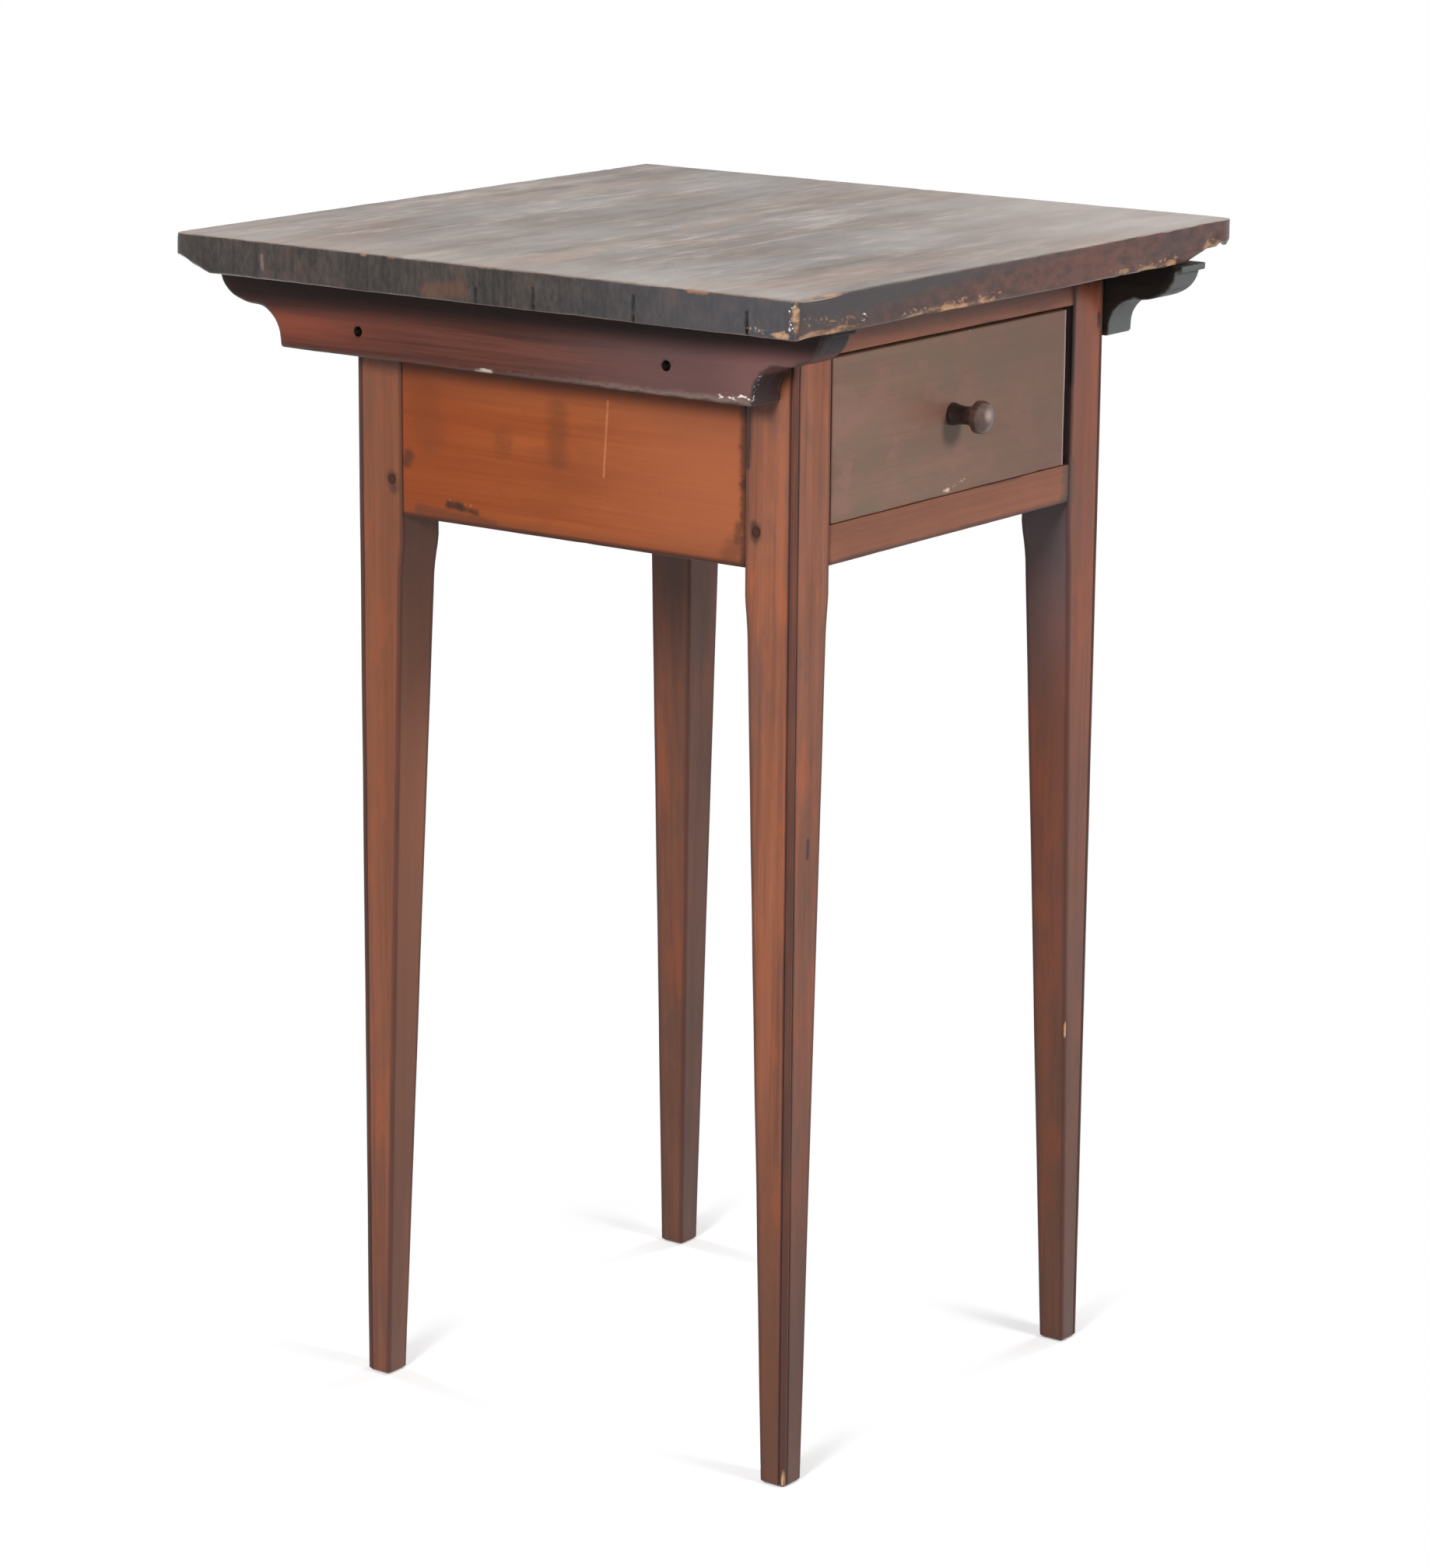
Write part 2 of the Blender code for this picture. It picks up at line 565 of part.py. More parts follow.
def make_drawer_ways(finish, parent):
    """What the drawer runs on, between, under and up against."""
    kicker_low = DRAWER_FLOOR + DRAWER_SIDE_HEIGHT + KICKER_CLEARANCE
    for side_name, side in SIDES.items():
        runner = prism(runner_plan(side), "Z", RAIL_TOP - RUNNER_HEIGHT, RAIL_TOP)
        piece(f"runner_{side_name}", runner, finish, parent)
        guide = side_strip(side, LEG_SIZE, RAIL_TOP + FIT, RAIL_TOP + GUIDE_HEIGHT)
        piece(f"guide_{side_name}", guide, finish, parent)
        kicker = side_strip(side, LEG_SIZE + KICKER_REACH, kicker_low, FRAME_TOP)
        piece(f"kicker_{side_name}", kicker, finish, parent)
        stop_x = side * STOP_SPACING / 2
        stop = box((stop_x - STOP_WIDTH / 2, -HALF_DEPTH + STOP_FRONT, RAIL_TOP + FIT),
                   (stop_x + STOP_WIDTH / 2, -HALF_DEPTH + STOP_BACK, RAIL_TOP + STOP_HEIGHT))
        piece(f"stop_{side_name}", stop, finish, parent)


# Top and cleats

def make_top(finish, parent):
    """Top board, its edges worn round, bored from below for the screws that hold it."""
    half_x, half_y = TOP_WIDTH / 2, TOP_DEPTH / 2
    board = box((-half_x, -half_y, UNDERSIDE), (half_x, half_y, STAND_HEIGHT))
    soften(board, board.edges[:], TOP_ARRIS)
    top = piece("top", board, finish, parent)
    bores = []
    for side in SIDES.values():
        for end in ENDS.values():
            (x, y, z), direction = top_screw_line(side, end)
            start = (x, y - FRAME_FORWARD, z)
            bores.append(screw_bore((start, direction), CLEAT_HEIGHT, TOP_SCREW_BITE))
    cut(top, "bores", bores)


def quarter(middle, run, rise, first, steps):
    """Quarter ellipse as a list of points, turning left from a first angle."""
    points = []
    for i in range(steps + 1):
        angle = first + math.pi / 2 * i / steps
        points.append((middle[0] + run * math.cos(angle), middle[1] + rise * math.sin(angle)))
    return points


def scroll(tip_y):
    """Scroll of a front end, from its upper tip down to the foot: lip, round, cove and foot."""
    lip_low = CLEAT_TOP - SCROLL_LIP_HEIGHT
    round_y = tip_y + SCROLL_LIP_STEP
    round_low = lip_low - SCROLL_ROUND_RISE
    cove_y = round_y + SCROLL_ROUND_RUN
    foot_y = cove_y + SCROLL_COVE_RUN
    foot_top = CLEAT_BOTTOM + SCROLL_FOOT_HEIGHT
    convex = quarter((cove_y, lip_low), SCROLL_ROUND_RUN, SCROLL_ROUND_RISE, math.pi, SCROLL_STEPS)
    concave = quarter((cove_y, foot_top), SCROLL_COVE_RUN, round_low - foot_top, 0.0, SCROLL_STEPS)
    concave.reverse()
    return [(tip_y, CLEAT_TOP), (tip_y, lip_low)] + convex + concave[1:] + [(foot_y, CLEAT_BOTTOM)]


def make_cleats(finish, parent):
    """Cleats with a scroll on each end, bored for the screws across and the screws upward."""
    top_front = -TOP_DEPTH / 2 + FRAME_FORWARD
    for side_name, side in SIDES.items():
        front_tip = top_front + CLEAT_SET_BACK[side_name]
        front = scroll(front_tip)
        middle = front_tip + CLEAT_LENGTH / 2
        back = [(2 * middle - y, z) for y, z in reversed(front)]
        inner, outer = side * (HALF_WIDTH + FIT), side * (HALF_WIDTH + FIT + CLEAT_THICKNESS)
        board = prism(front + back, "X", inner, outer)
        soften(board, edges_along(board, outer, CLEAT_BOTTOM), CLEAT_ARRIS)
        cleat = piece(f"cleat_{side_name}", board, finish, parent)
        bores = []
        for end in ENDS.values():
            across, upward = cleat_screw_line(side, end), top_screw_line(side, end)
            bores.append(screw_bore(across, CLEAT_THICKNESS, CUT_PAST, CLEAT_SCREW_SINK))
            bores.append(screw_bore(upward, CLEAT_HEIGHT, CUT_PAST, TOP_SCREW_SINK))
        cut(cleat, "bores", bores)


# Screws

def screw_bore(line, through, bite, sink=0.0):
    """Cutting body for a screw: a wide bore down to the head's seat, then a shank's bore."""
    start, direction = line
    wide, narrow = SCREW_HEAD_RADIUS + FIT, SCREW_RADIUS + FIT
    seat = sink + SCREW_HEAD_HEIGHT + FIT
    end = through + bite + FIT
    if sink > 0:
        profile = [(-CUT_PAST, wide), (seat, wide), (seat, narrow), (end, narrow)]
    else:
        profile = [(seat, narrow), (end, narrow)]
    return turned(profile, start, direction, SCREW_SIDES)


def screw(line, through, bite, sink):
    """Screw whose head lies sunk in its bore."""
    start, direction = line
    head_low = sink + SCREW_HEAD_HEIGHT
    end = through + bite
    profile = [(sink, SCREW_HEAD_RADIUS), (head_low, SCREW_HEAD_RADIUS), (head_low, SCREW_RADIUS),
               (end - SCREW_POINT_LENGTH, SCREW_RADIUS), (end, SCREW_TIP_RADIUS)]
    return turned(profile, start, direction, SCREW_SIDES)


def make_screws(finish, parent):
    """Screws across the cleats into the frame, and up through the cleats into the top."""
    through = CLEAT_THICKNESS + FIT
    for side_name, side in SIDES.items():
        for end_name, end in ENDS.items():
            across = screw(cleat_screw_line(side, end), through, CLEAT_SCREW_BITE, CLEAT_SCREW_SINK)
            piece(f"cleat_screw_{end_name}_{side_name}", across, finish, parent)
            upward = screw(top_screw_line(side, end), CLEAT_HEIGHT, TOP_SCREW_BITE, TOP_SCREW_SINK)
            piece(f"top_screw_{end_name}_{side_name}", upward, finish, parent)


# Drawer

def tails(low, high, count):
    """Tails spread between two heights, as (middle, half of the root's width)."""
    pitch = (high - low) / count
    return [(low + pitch * (i + 0.5), pitch * TAIL_SHARE / 2) for i in range(count)]


def tail_edge(root, tip, placed):
    """Points up a side's end, out and in around each tail."""
    flare = abs(root - tip) * TAIL_SLOPE
    points = []
    for middle, half in placed:
        wide = half + flare
        points += [(root, middle - half), (tip, middle - wide), (tip, middle + wide), (root, middle + half)]
    return points


def sockets(root, tip, placed, x_from, x_to):
    """Cutting bodies for the tails of one side in the front or the back."""
    outward = math.copysign(1.0, tip - root)
    past = root - outward * CUT_PAST
    end = tip + outward * FIT
    flare = abs(root - tip) * TAIL_SLOPE
    slip = CUT_PAST * TAIL_SLOPE
    bodies = []
    for middle, half in placed:
        narrow, wide = half - slip + FIT, half + flare + FIT
        outline = [(past, middle - narrow), (end, middle - wide),
                   (end, middle + wide), (past, middle + narrow)]
        bodies.append(prism(outline, "X", x_from, x_to))
    return bodies


def drawer_tails():
    """Tails of the front joint and of the back joint."""
    front = tails(0.0, DRAWER_SIDE_HEIGHT, FRONT_TAILS)
    back = tails(DRAWER_BACK_LOW, DRAWER_BACK_HEIGHT, BACK_TAILS)
    return front, back


def socket_range(side):
    """Reach across of the sockets for one drawer side."""
    return side * (DRAWER_INNER - FIT), side * (DRAWER_HALF + CUT_PAST)


def make_drawer_front(finish, parent):
    """Drawer front with half-blind sockets, a groove for the bottom and a bore for the knob."""
    board = box((-DRAWER_HALF, 0.0, 0.0), (DRAWER_HALF, DRAWER_FRONT_THICKNESS, DRAWER_HEIGHT))
    front = piece("drawer_front", board, finish, parent)
    placed, _ = drawer_tails()
    for side_name, side in SIDES.items():
        bodies = sockets(TAIL_ROOT_FRONT, TAIL_TIP_FRONT, placed, *socket_range(side))
        cut(front, f"sockets_{side_name}", bodies)
    groove_half = DRAWER_INNER + GROOVE_DEPTH
    groove = box((-groove_half, DRAWER_FRONT_THICKNESS - GROOVE_DEPTH, GROOVE_LOW),
                 (groove_half, DRAWER_FRONT_THICKNESS + CUT_PAST, GROOVE_HIGH))
    cut(front, "groove", [groove])
    start = (0.0, -CUT_PAST, DRAWER_HEIGHT / 2)
    reach = DRAWER_FRONT_THICKNESS + 2 * CUT_PAST
    radius = KNOB_TENON_RADIUS + FIT
    cut(front, "knob_bore", [turned([(0.0, radius), (reach, radius)], start, (0, 1, 0), KNOB_SIDES)])


def make_drawer_sides(finish, parent):
    """Drawer sides with tails on both ends and a groove for the bottom."""
    front, back = drawer_tails()
    under_back = DRAWER_BACK_LOW - FIT
    for side_name, side in SIDES.items():
        outline = [(TAIL_ROOT_FRONT, 0.0), (DRAWER_LENGTH, 0.0),
                   (DRAWER_LENGTH, under_back), (TAIL_ROOT_BACK, under_back)]
        outline += tail_edge(TAIL_ROOT_BACK, DRAWER_LENGTH, back)
        outline += [(TAIL_ROOT_BACK, DRAWER_SIDE_HEIGHT), (TAIL_ROOT_FRONT, DRAWER_SIDE_HEIGHT)]
        outline += reversed(tail_edge(TAIL_ROOT_FRONT, TAIL_TIP_FRONT, front))
        board = prism(outline, "X", side * DRAWER_INNER, side * DRAWER_HALF)
        made = piece(f"drawer_side_{side_name}", board, finish, parent)
        x_open, x_deep = side * (DRAWER_INNER - CUT_PAST), side * (DRAWER_INNER + GROOVE_DEPTH)
        groove = box((x_open, TAIL_TIP_FRONT - CUT_PAST, GROOVE_LOW),
                     (x_deep, DRAWER_LENGTH + CUT_PAST, GROOVE_HIGH))
        cut(made, "groove", [groove])


def nail_line(x):
    """Start and direction of a nail up through the bottom panel into the drawer back."""
    return (x, DRAWER_LENGTH - DRAWER_BACK_THICKNESS / 2, PANEL_LOW - NAIL_HEAD_HEIGHT - FIT), (0, 0, 1)


def nail_bores():
    """Cutting bodies for the nails."""
    radius = NAIL_RADIUS + FIT
    profile = [(0.0, radius), (NAIL_LENGTH + FIT, radius)]
    return [turned(profile, *nail_line(x), NAIL_SIDES) for x in NAIL_PLACES.values()]


def make_drawer_back(finish, parent):
    """Drawer back, which stands on the bottom panel and takes the tails of both sides."""
    board = box((-DRAWER_HALF, DRAWER_LENGTH - DRAWER_BACK_THICKNESS, DRAWER_BACK_LOW),
                (DRAWER_HALF, DRAWER_LENGTH, DRAWER_BACK_HEIGHT))
    back = piece("drawer_back", board, finish, parent)
    _, placed = drawer_tails()
    for side_name, side in SIDES.items():
        bodies = sockets(TAIL_ROOT_BACK, DRAWER_LENGTH, placed, *socket_range(side))
        cut(back, f"sockets_{side_name}", bodies)
    cut(back, "nail_bores", nail_bores())


def make_drawer_bottom(finish, parent):
    """Bottom panel, bevelled below to a tongue that lies in the grooves and nailed under the back."""
    half = DRAWER_INNER + GROOVE_DEPTH - PANEL_PLAY
    front = DRAWER_FRONT_THICKNESS - GROOVE_DEPTH + PANEL_PLAY
    back = DRAWER_LENGTH - PANEL_PLAY
    tongue, field = half - GROOVE_DEPTH, half - PANEL_FIELD
    rings = []
    for y, low in ((front, PANEL_EDGE_LOW), (front + GROOVE_DEPTH, PANEL_EDGE_LOW),
                   (front + PANEL_FIELD, PANEL_LOW), (back, PANEL_LOW)):
        section = [(-half, PANEL_EDGE_LOW), (-tongue, PANEL_EDGE_LOW), (-field, low), (field, low),
                   (tongue, PANEL_EDGE_LOW), (half, PANEL_EDGE_LOW), (half, PANEL_TOP), (-half, PANEL_TOP)]
        rings.append([(x, y, z) for x, z in section])
    panel = piece("drawer_bottom", loft(rings), finish, parent)
    cut(panel, "nail_bores", nail_bores())


def make_nails(finish, parent):
    """Nails up through the bottom panel into the drawer back."""
    profile = [(0.0, NAIL_HEAD_RADIUS), (NAIL_HEAD_HEIGHT, NAIL_HEAD_RADIUS),
               (NAIL_HEAD_HEIGHT, NAIL_RADIUS), (NAIL_LENGTH - NAIL_POINT_LENGTH, NAIL_RADIUS),
               (NAIL_LENGTH, NAIL_TIP_RADIUS)]
    for name, x in NAIL_PLACES.items():
        piece(f"bottom_nail_{name}", turned(profile, *nail_line(x), NAIL_SIDES), finish, parent)


def make_knob(finish, parent):
    """Turned knob: a tenon through the front, a thin base, a hollow neck and a low-domed head."""
    tenon_end = -DRAWER_FRONT_THICKNESS
    neck_low = FIT + KNOB_BASE_HEIGHT
    profile = [(tenon_end, KNOB_TENON_RADIUS), (FIT, KNOB_TENON_RADIUS), (FIT, KNOB_BASE_RADIUS)]
    for i in range(KNOB_STEPS + 1):
        share = i / KNOB_STEPS
        spread = KNOB_BASE_RADIUS + (KNOB_HEAD_RADIUS - KNOB_BASE_RADIUS) * share ** KNOB_FLARE_POWER
        pinch = (spread - KNOB_NECK_RADIUS) * math.sin(math.pi * share) ** KNOB_WAIST_POWER
        profile.append((neck_low + KNOB_NECK_HEIGHT * share, spread - pinch))
    rim_end = neck_low + KNOB_NECK_HEIGHT + KNOB_RIM
    for i in range(KNOB_STEPS):
        angle = math.pi / 2 * i / KNOB_STEPS
        profile.append((rim_end + KNOB_DOME * math.sin(angle), KNOB_HEAD_RADIUS * math.cos(angle)))
    knob = turned(profile, (0.0, 0.0, DRAWER_HEIGHT / 2), (0, -1, 0), KNOB_SIDES)
    piece("knob", knob, finish, parent)


def clear_scene():
    """Start from an empty scene."""
    for thing in list(bpy.data.objects):
        bpy.data.objects.remove(thing, do_unlink=True)


def main():
    """Build every piece of the stand."""
    clear_scene()
    frame_wood = material("frame_wood", (0.23, 0.085, 0.038), 0.45)
    peg_wood = material("peg_wood", (0.14, 0.055, 0.028), 0.50)
    top_wood = material("top_wood", (0.13, 0.095, 0.075), 0.50)
    cleat_wood = material("cleat_wood", (0.15, 0.052, 0.032), 0.45)
    drawer_wood = material("drawer_wood", (0.13, 0.082, 0.055), 0.50)
    inside_wood = material("inside_wood", (0.42, 0.28, 0.16), 0.70)
    knob_wood = material("knob_wood", (0.045, 0.025, 0.018), 0.35)
    iron = material("iron", (0.08, 0.07, 0.065), 0.55, 1.0)

    stand = empty("stand", None, (0.0, 0.0, 0.0))
    frame = empty("frame", stand, (0.0, -FRAME_FORWARD, 0.0))
    drawer_middle = (DRAWER_GAP_LEFT - DRAWER_GAP_RIGHT) / 2
    drawer = empty("drawer", frame, (drawer_middle, -HALF_DEPTH + DRAWER_RECESS, DRAWER_FLOOR))

    make_top(top_wood, stand)
    make_legs(frame_wood, frame)
    make_pegs(peg_wood, frame)
    make_side_aprons(frame_wood, frame)
    make_back_apron(frame_wood, frame)
    make_lower_rail(frame_wood, frame)
    make_upper_rail(frame_wood, frame)
    make_drawer_ways(inside_wood, frame)
    make_cleats(cleat_wood, frame)
    make_screws(iron, frame)
    make_drawer_front(drawer_wood, drawer)
    make_drawer_sides(inside_wood, drawer)
    make_drawer_back(inside_wood, drawer)
    make_drawer_bottom(inside_wood, drawer)
    make_nails(iron, drawer)
    make_knob(knob_wood, drawer)


main()
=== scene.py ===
"""Looks of a one-drawer stand: worn boards, beaded legs, scrolled cleats and a turned knob.

Metres, in the frame's axes: +Z is up, the drawer front faces -Y and +X is to the right of it.
"""

import json
import math

import bmesh
import bpy
import numpy as np
from mathutils import Matrix, Vector, noise


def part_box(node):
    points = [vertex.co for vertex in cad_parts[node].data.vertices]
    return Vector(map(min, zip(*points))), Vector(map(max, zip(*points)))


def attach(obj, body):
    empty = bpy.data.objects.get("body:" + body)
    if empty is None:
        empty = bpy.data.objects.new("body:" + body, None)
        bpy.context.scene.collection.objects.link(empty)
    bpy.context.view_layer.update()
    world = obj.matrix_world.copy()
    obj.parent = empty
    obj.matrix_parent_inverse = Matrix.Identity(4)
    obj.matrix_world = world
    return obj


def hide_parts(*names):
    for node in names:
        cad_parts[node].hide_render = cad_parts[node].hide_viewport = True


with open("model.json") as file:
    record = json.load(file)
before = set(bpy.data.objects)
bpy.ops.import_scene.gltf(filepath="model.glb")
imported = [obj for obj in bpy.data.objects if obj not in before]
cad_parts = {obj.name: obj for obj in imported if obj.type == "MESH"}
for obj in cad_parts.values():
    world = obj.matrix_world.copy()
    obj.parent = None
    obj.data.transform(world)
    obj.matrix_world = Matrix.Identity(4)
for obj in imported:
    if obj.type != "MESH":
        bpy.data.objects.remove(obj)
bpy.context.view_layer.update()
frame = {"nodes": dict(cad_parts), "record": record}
NODES = frame["nodes"]
BODY_OF = {node: body for body, nodes in frame["record"]["behaviour"]["bodies"].items() for node in nodes}

# Camera, fitted to the photograph
IMAGE_HEIGHT_PX = 2016
FOCAL_PX = 6084
SENSOR_MM = 36.0
CAMERA_AZIMUTH = math.radians(-53.70)
CAMERA_ELEVATION = math.radians(13.98)
CAMERA_ROLL = math.radians(0.43)
CAMERA_DISTANCE = 2.946
CAMERA_AIM = Vector((-0.0104, -0.0124, 0.3774))

# Light
WORLD_STRENGTH = 0.19
LAMP_SIZE = 0.7
LAMP_AIM = Vector((0, 0, 0.42))
LAMPS = {                      # place, and power in watts
    "left_lamp": (Vector((-2.35, -0.45, 1.55)), 57.0),
    "front_lamp": (Vector((0.05, -2.40, 1.60)), 40.0),
    "right_lamp": (Vector((2.30, -0.30, 1.50)), 26.0),
    "back_lamp": (Vector((0.20, 2.40, 1.50)), 26.0),
}
FLOOR_HALF = 12.0
FLOOR_DROP = 0.0002
FLOOR_SEEN, FLOOR_BOUNCE = 0.80, 0.30
FLOOR_GLOW = 0.24
FLOOR_FADE_FROM, FLOOR_FADE_TO = 0.020, 0.120   # away from the nearest foot

# Mesh fineness
SKIN = 0.00003                 # worn boards lie this far inside the CAD faces
WELD = 0.000001
NEAR_EDGE = (0.0, 0.0003, 0.0007, 0.0012, 0.0020, 0.0034, 0.0060)
SMOOTH_ANGLE = math.radians(34)

TINY = 1e-9                    # keeps a length from being zero in a division

# Seeds of the noise on each piece
TOP_SEED = 3
FIRST_BOARD_SEED = 11
KNOB_SEED = 41
FIRST_LEG_SEED = 51
FIRST_CLEAT_SEED, CLEAT_SEED_STEP = 61, 4
FIELD_SHIFT = Vector((7.3, 3.1, 5.7))           # of the noise, for each seed

# Chips
CHIP_RARITY, CHIP_SOFTNESS = 0.48, 0.16
CHIP_REACH = 0.004             # of scattered chips, away from an edge
CHIP_STEEPNESS = 1.6           # of placed chips, towards their middle
CHIP_CORE = 0.004              # chips sink towards a box this far inside a board
PLACED_CHIP_DEPTH = 1.4        # of a placed chip, to a scattered one's
CHIP_COLOUR_SPREAD = 1.4       # bare wood shows this much further than a chip's hollow

# Legs
LEG_SIZE = 0.035
FOOT_SIZE = 0.0175
TAPER_TOP = 0.537
SHOULDER_HEIGHT = 0.030
SHOULDER_CUT = 0.0022
FOOT_CHAMFER = 0.0015
BEAD_RADIUS = 0.0022
BEAD_END_ANGLE = math.radians(40)
BEAD_STEPS = 12
QUIRK_WIDTH = 0.0006
LEG_STEP = 0.006
LEG_ARC_STEPS = 3
LEG_FACE_SHARES = (0.04, 0.10, 0.22, 0.5, 0.78, 0.90, 0.96)

# Cleats
SCROLL_LIP_HEIGHT = 0.0040
SCROLL_LIP_STEP = 0.0045
SCROLL_ROUND_RUN = 0.028
SCROLL_ROUND_RISE = 0.0190
SCROLL_COVE_RUN = 0.0195
SCROLL_FOOT_HEIGHT = 0.0040
SCROLL_STEPS = 12
LIP_ROUND = 0.0010
FOOT_ROUND = 0.0020
CLEAT_STEP = 0.005
CLEAT_LEVELS = (0.0, 0.010, 0.025, 0.045, 0.08, 0.14, 0.28, 0.5, 0.75, 1.0)
SCREW_HOLE_RADIUS = 0.0031
# Painted shade reaches this far past the bore's wall
SCREW_HOLE_SHADE_RIM = 0.0001
SCREW_HOLE_CLEAR = 0.001       # out of the cleat's face
SCREW_HOLE_PAST = 0.0024       # past the outer end of the screw
SCREW_HOLE_SIDES = 24

# Knob
KNOB_BASE_RADIUS = 0.0068
KNOB_NECK_RADIUS = 0.0055
KNOB_BASE_HEIGHT = 0.0016
KNOB_NECK_HEIGHT = 0.0165
KNOB_RIM = 0.0030
KNOB_DOME = 0.0050
KNOB_TENON_RADIUS = 0.0046
KNOB_FLARE_POWER = 2.0
KNOB_WAIST_POWER = 0.8
KNOB_WORN_SHARE = 0.93         # what use has left of the head's radius
KNOB_SIDES = 48
# Pale painted highlight on the knob's face: its shift from the face's middle, its reach, and the size of its
# full core
KNOB_HIGHLIGHT_SHIFT = Vector((-0.0005, 0, 0.0018))
KNOB_HIGHLIGHT_REACH, KNOB_HIGHLIGHT_CORE = 0.0055, 0.0008
KNOB_STEPS = 14
KNOB_BASE_ROUND, KNOB_BASE_ROUND_RUN = 0.0004, 0.0003

SIDES = ("left", "right")
ENDS = ("front", "back")

# Faces and edges that chips and marks lie on
LEFT_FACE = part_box("leg_front_left")[0].x
RIGHT_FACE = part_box("leg_front_right")[1].x
FRONT_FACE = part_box("leg_front_left")[0].y
BACK_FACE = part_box("leg_back_left")[1].y
CLEAT_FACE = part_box("cleat_left")[0].x
TOP_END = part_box("top")[0].x
TOP_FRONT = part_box("top")[0].y
TOP_LOW, TOP_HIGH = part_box("top")[0].z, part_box("top")[1].z
APRON_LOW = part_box("apron_left")[0].z
DRAWER_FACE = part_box("drawer_front")[0].y

# Chips that show bare wood, as (place, reach along X, Y and Z)
CHIPS = {
    "top": [
        ((TOP_END, TOP_FRONT, 0.7150), (0.0045, 0.0040, 0.0090)),
        ((TOP_END, TOP_FRONT + 0.0100, 0.7040), (0.0035, 0.0060, 0.0028)),
        ((-0.2100, TOP_FRONT, TOP_HIGH), (0.0230, 0.0050, 0.0022)),
        ((-0.2130, TOP_FRONT, 0.7030), (0.0200, 0.0045, 0.0028)),
        ((-0.1880, TOP_FRONT, 0.7035), (0.0130, 0.0035, 0.0026)),
        ((-0.1080, TOP_FRONT, 0.7025), (0.0200, 0.0045, 0.0026)),
        ((-0.0820, TOP_FRONT, 0.7035), (0.0250, 0.0040, 0.0028)),
        ((-0.0440, TOP_FRONT, 0.7040), (0.0090, 0.0040, 0.0025)),
        ((0.1050, TOP_FRONT, 0.7035), (0.0080, 0.0040, 0.0030)),
        ((0.1320, TOP_FRONT, 0.7030), (0.0120, 0.0040, 0.0024)),
        ((0.1590, TOP_FRONT, 0.7035), (0.0080, 0.0040, 0.0025)),
        ((0.2080, TOP_FRONT, 0.7095), (0.0130, 0.0060, 0.0045)),
    ],
    "leg_front_left": [((LEFT_FACE, FRONT_FACE, 0.005), (0.003, 0.003, 0.011))],
    "leg_front_right": [((0.1400, FRONT_FACE, 0.2130), (0.0016, 0.002, 0.009))],
    "cleat_left": [((CLEAT_FACE, 0.0250, 0.6550), (0.0035, 0.0080, 0.0023))],
    "drawer_front": [
        ((-0.0070, DRAWER_FACE, 0.5815), (0.0035, 0.002, 0.0020)),
        ((0.0080, DRAWER_FACE, 0.5845), (0.0035, 0.002, 0.0020)),
    ],
}

# Checks in the top's left end, as (place along Y, height)
END_CHECKS = [(-0.0466, 0.013), (-0.1179, 0.015), (-0.1959, 0.013), (-0.0050, 0.009)]
CHECK_HALF_WIDTH = 0.0008
CHECK_DEPTH = 0.0035

# Corners of the top that have broken away below, as (place along X and Y, reach, share of the thickness)
BROKEN_CORNERS = [((-0.234, 0.229), 0.030, 0.46), ((0.234, -0.229), 0.058, 0.55)]
CORNER_ROUND, CORNER_ROUND_REACH = 0.0022, 0.014


def on_x(x, y, z, to_y, to_z, *rest):
    """Mark on a face at one X, between two places along Y and Z."""
    return (x, y, z), (x, to_y, to_z), *rest


def on_y(y, x, z, to_x, to_z, *rest):
    """Mark on a face at one Y, between two places along X and Z."""
    return (x, y, z), (to_x, y, to_z), *rest


def on_z(z, x, y, to_x, to_y, *rest):
    """Mark on a face at one Z, between two places along X and Y."""
    return (x, y, z), (to_x, to_y, z), *rest
